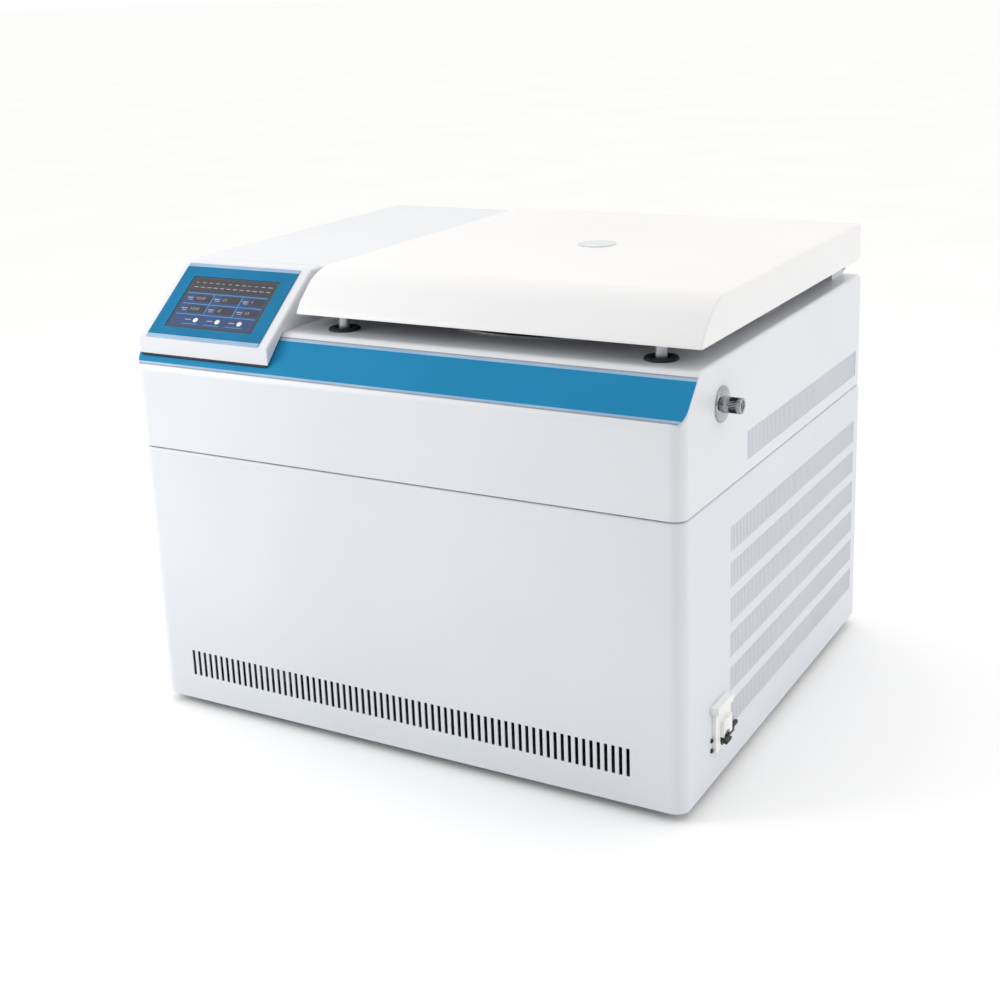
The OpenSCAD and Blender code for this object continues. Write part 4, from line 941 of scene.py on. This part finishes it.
def bowl_profile():
    """The inside of the bowl, from the hole in its floor up to the rim, and back along the outside."""
    floor_z, rim = bowl_low.z + BOWL_T, bowl_high.z
    angles = [math.pi / 2 * i / CORNER_STEPS for i in range(CORNER_STEPS + 1)]
    turn = [(math.sin(a), math.cos(a)) for a in angles]
    bend = BOWL_R - BOWL_CORNER
    inner_wall = [(bend + BOWL_CORNER * s, floor_z + BOWL_CORNER * (1 - c)) for s, c in turn]
    outer_wall = [(bend + (BOWL_CORNER + BOWL_T) * s, floor_z + BOWL_CORNER - (BOWL_CORNER + BOWL_T) * c)
                  for s, c in reversed(turn)]
    edge = [(BOWL_R, rim - 0.6), (BOWL_R + 0.6, rim), (BOWL_R + 8.6, rim), (BOWL_R + BOWL_RIM, rim - 0.4),
            (BOWL_R + BOWL_RIM, rim - BOWL_T), (BOWL_R + BOWL_T, rim - BOWL_T)]
    return [(BOWL_HOLE_R, floor_z), *inner_wall, *edge, *outer_wall, (BOWL_HOLE_R, bowl_low.z),
            (BOWL_HOLE_R, floor_z)]


piece("chamber_liner", turned(bowl_profile(), ROTOR_AXIS, steps=128), stainless, "cabinet",
      ["chamber_bowl"], crease=40)
arc = [math.pi * i / BEAD_STEPS for i in range(BEAD_STEPS + 1)]
bulb = [(GASKET_R + BEAD_R * math.cos(a), GASKET_Z + BEAD_R * math.sin(a)) for a in arc]
seat = [(GASKET_R - BEAD_R, gasket_low.z + 1), (GASKET_R - BEAD_R + BEAD_FOOT, gasket_low.z),
        (GASKET_R + BEAD_R - BEAD_FOOT, gasket_low.z), (GASKET_R + BEAD_R, gasket_low.z + 1)]
piece("gasket_bulb", turned([*bulb, *seat, bulb[0]], ROTOR_AXIS, steps=128), rubber, "cabinet",
      ["chamber_gasket"], crease=45)
softened("shaft_boot", "motor_boot", rubber, "cabinet", 0.5)

# Rotor: a cross milled from aluminium and anodised, on the steel drive shaft. Four buckets swing out
# on steel pins in its arms, and a fluted black knob screws it down.
GRIPS = 12
GRIP_R, COLLAR_R, COLLAR_H = 17.0, 22.0, 4.0
FLUTE_R, FLUTE_RING, FLUTE_FOOT = 3.0, 19.0, 6.0
# Clear anodised aluminium: pale grey and silky, with a fine grain left by the milling.
anodised = finish_of("clear_anodised_aluminium", "#b4b7bb", 0.34, metallic=0.9)
drift(anodised, noise_in(anodised, 26), "#aeb1b5", "#babdc1")
texture(anodised, noise_in(anodised, 0.5), 0.008, 0.35, rough=(0.28, 0.42))
softened("rotor_cross", "rotor_head", anodised, "rotor", 1.6, 4)
softened("rotor_pins", "trunnion_pins", stainless, "rotor", 0.6)
softened("spindle", "drive_shaft", stainless, "rotor", 0.6)
for bucket in ("bucket_1", "bucket_2", "bucket_3", "bucket_4"):
    softened(f"swing_{bucket}", bucket, anodised, bucket, 0.8, 3)
knob_low, knob_high = corners_of("rotor_knob")
grip = rod(GRIP_R, knob_low.z + COLLAR_H, knob_high.z, ROTOR_AXIS, steps=48)
flutes = []
for angle in (math.tau * i / GRIPS for i in range(GRIPS)):
    place = (ROTOR_X + FLUTE_RING * math.cos(angle), ROTOR_Y + FLUTE_RING * math.sin(angle), 0)
    flutes.append(rod(FLUTE_R, knob_low.z + FLUTE_FOOT, knob_high.z + COLLAR_H, place, steps=20))
grip = combine(grip, gather(flutes), "DIFFERENCE")
collar = rod(COLLAR_R, knob_low.z, knob_low.z + COLLAR_H, ROTOR_AXIS, steps=64)
piece("rotor_grip_knob", gather([grip, collar]), black_plastic, "rotor", ["rotor_knob"],
      edge=0.9, segments=3)

# Base plate, drive, cooling and electronics, out of sight behind the sheet. Their CAD shapes stay,
# and each gets the finish of the real part.
# Polyurethane foam: cream and matt, with open cells about 2 mm across.
foam = finish_of("cream_polyurethane_foam", "#d9cfa6", 0.85)
drift(foam, noise_in(foam, 14), "#d2c79b", "#e0d7b0")
texture(foam, noise_in(foam, 2.2), 0.3, 0.6)

# Drawn copper tube: bright and reddish, darker in patches where it has tarnished.
copper = finish_of("drawn_copper_tube", "#b8714a", 0.32, metallic=1.0)
drift(copper, noise_in(copper, 40), "#a9633f", "#c27d55")
texture(copper, noise_in(copper, 1.2), 0.01, 0.3)

# Stoved enamel: black and glossy, with a slight orange peel.
motor_paint = finish_of("black_stoved_enamel", "#24272a", 0.36)
drift(motor_paint, noise_in(motor_paint, 50), "#202326", "#2b2e32")
texture(motor_paint, noise_in(motor_paint, 1.5), 0.03, 0.4)

# Rolled aluminium: dull silver, with fine upright lines from the rolls.
fins = finish_of("rolled_aluminium_fins", "#b7bbbf", 0.42, metallic=0.85)
drift(fins, noise_in(fins, 35), "#b0b4b8", "#bec2c6")
texture(fins, noise_in(fins, 0.8, 2.0, (1.0, 1.0, 0.1)), 0.01, 0.3)

# Solder mask: deep green, smooth and glossy.
board_green = finish_of("green_solder_mask", "#1f5a3a", 0.3)
drift(board_green, noise_in(board_green, 7), "#1a5034", "#256543")
texture(board_green, noise_in(board_green, 1.4), 0.03, 0.4)
HIDDEN_PARTS = [
    (zinc, ("base_plate", "guard_ring", "support_posts", "motor_plate", "power_supply")),
    (foam, ("chamber_insulation", "lid_insulation")),
    (copper, ("evaporator_coil", "filter_drier", "refrigerant_lines")),
    (motor_paint, ("motor_housing", "compressor", "fan_motor")),
    (rubber, ("motor_dampers", "compressor_grommets")),
    (fins, ("condenser", "drive_inverter")),
    (black_plastic, ("fan_shroud", "fan_blades")),
    (board_green, ("control_board",)),
]
for material, nodes in HIDDEN_PARTS:
    for node in nodes:
        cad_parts[node].data.materials.clear()
        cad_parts[node].data.materials.append(material)
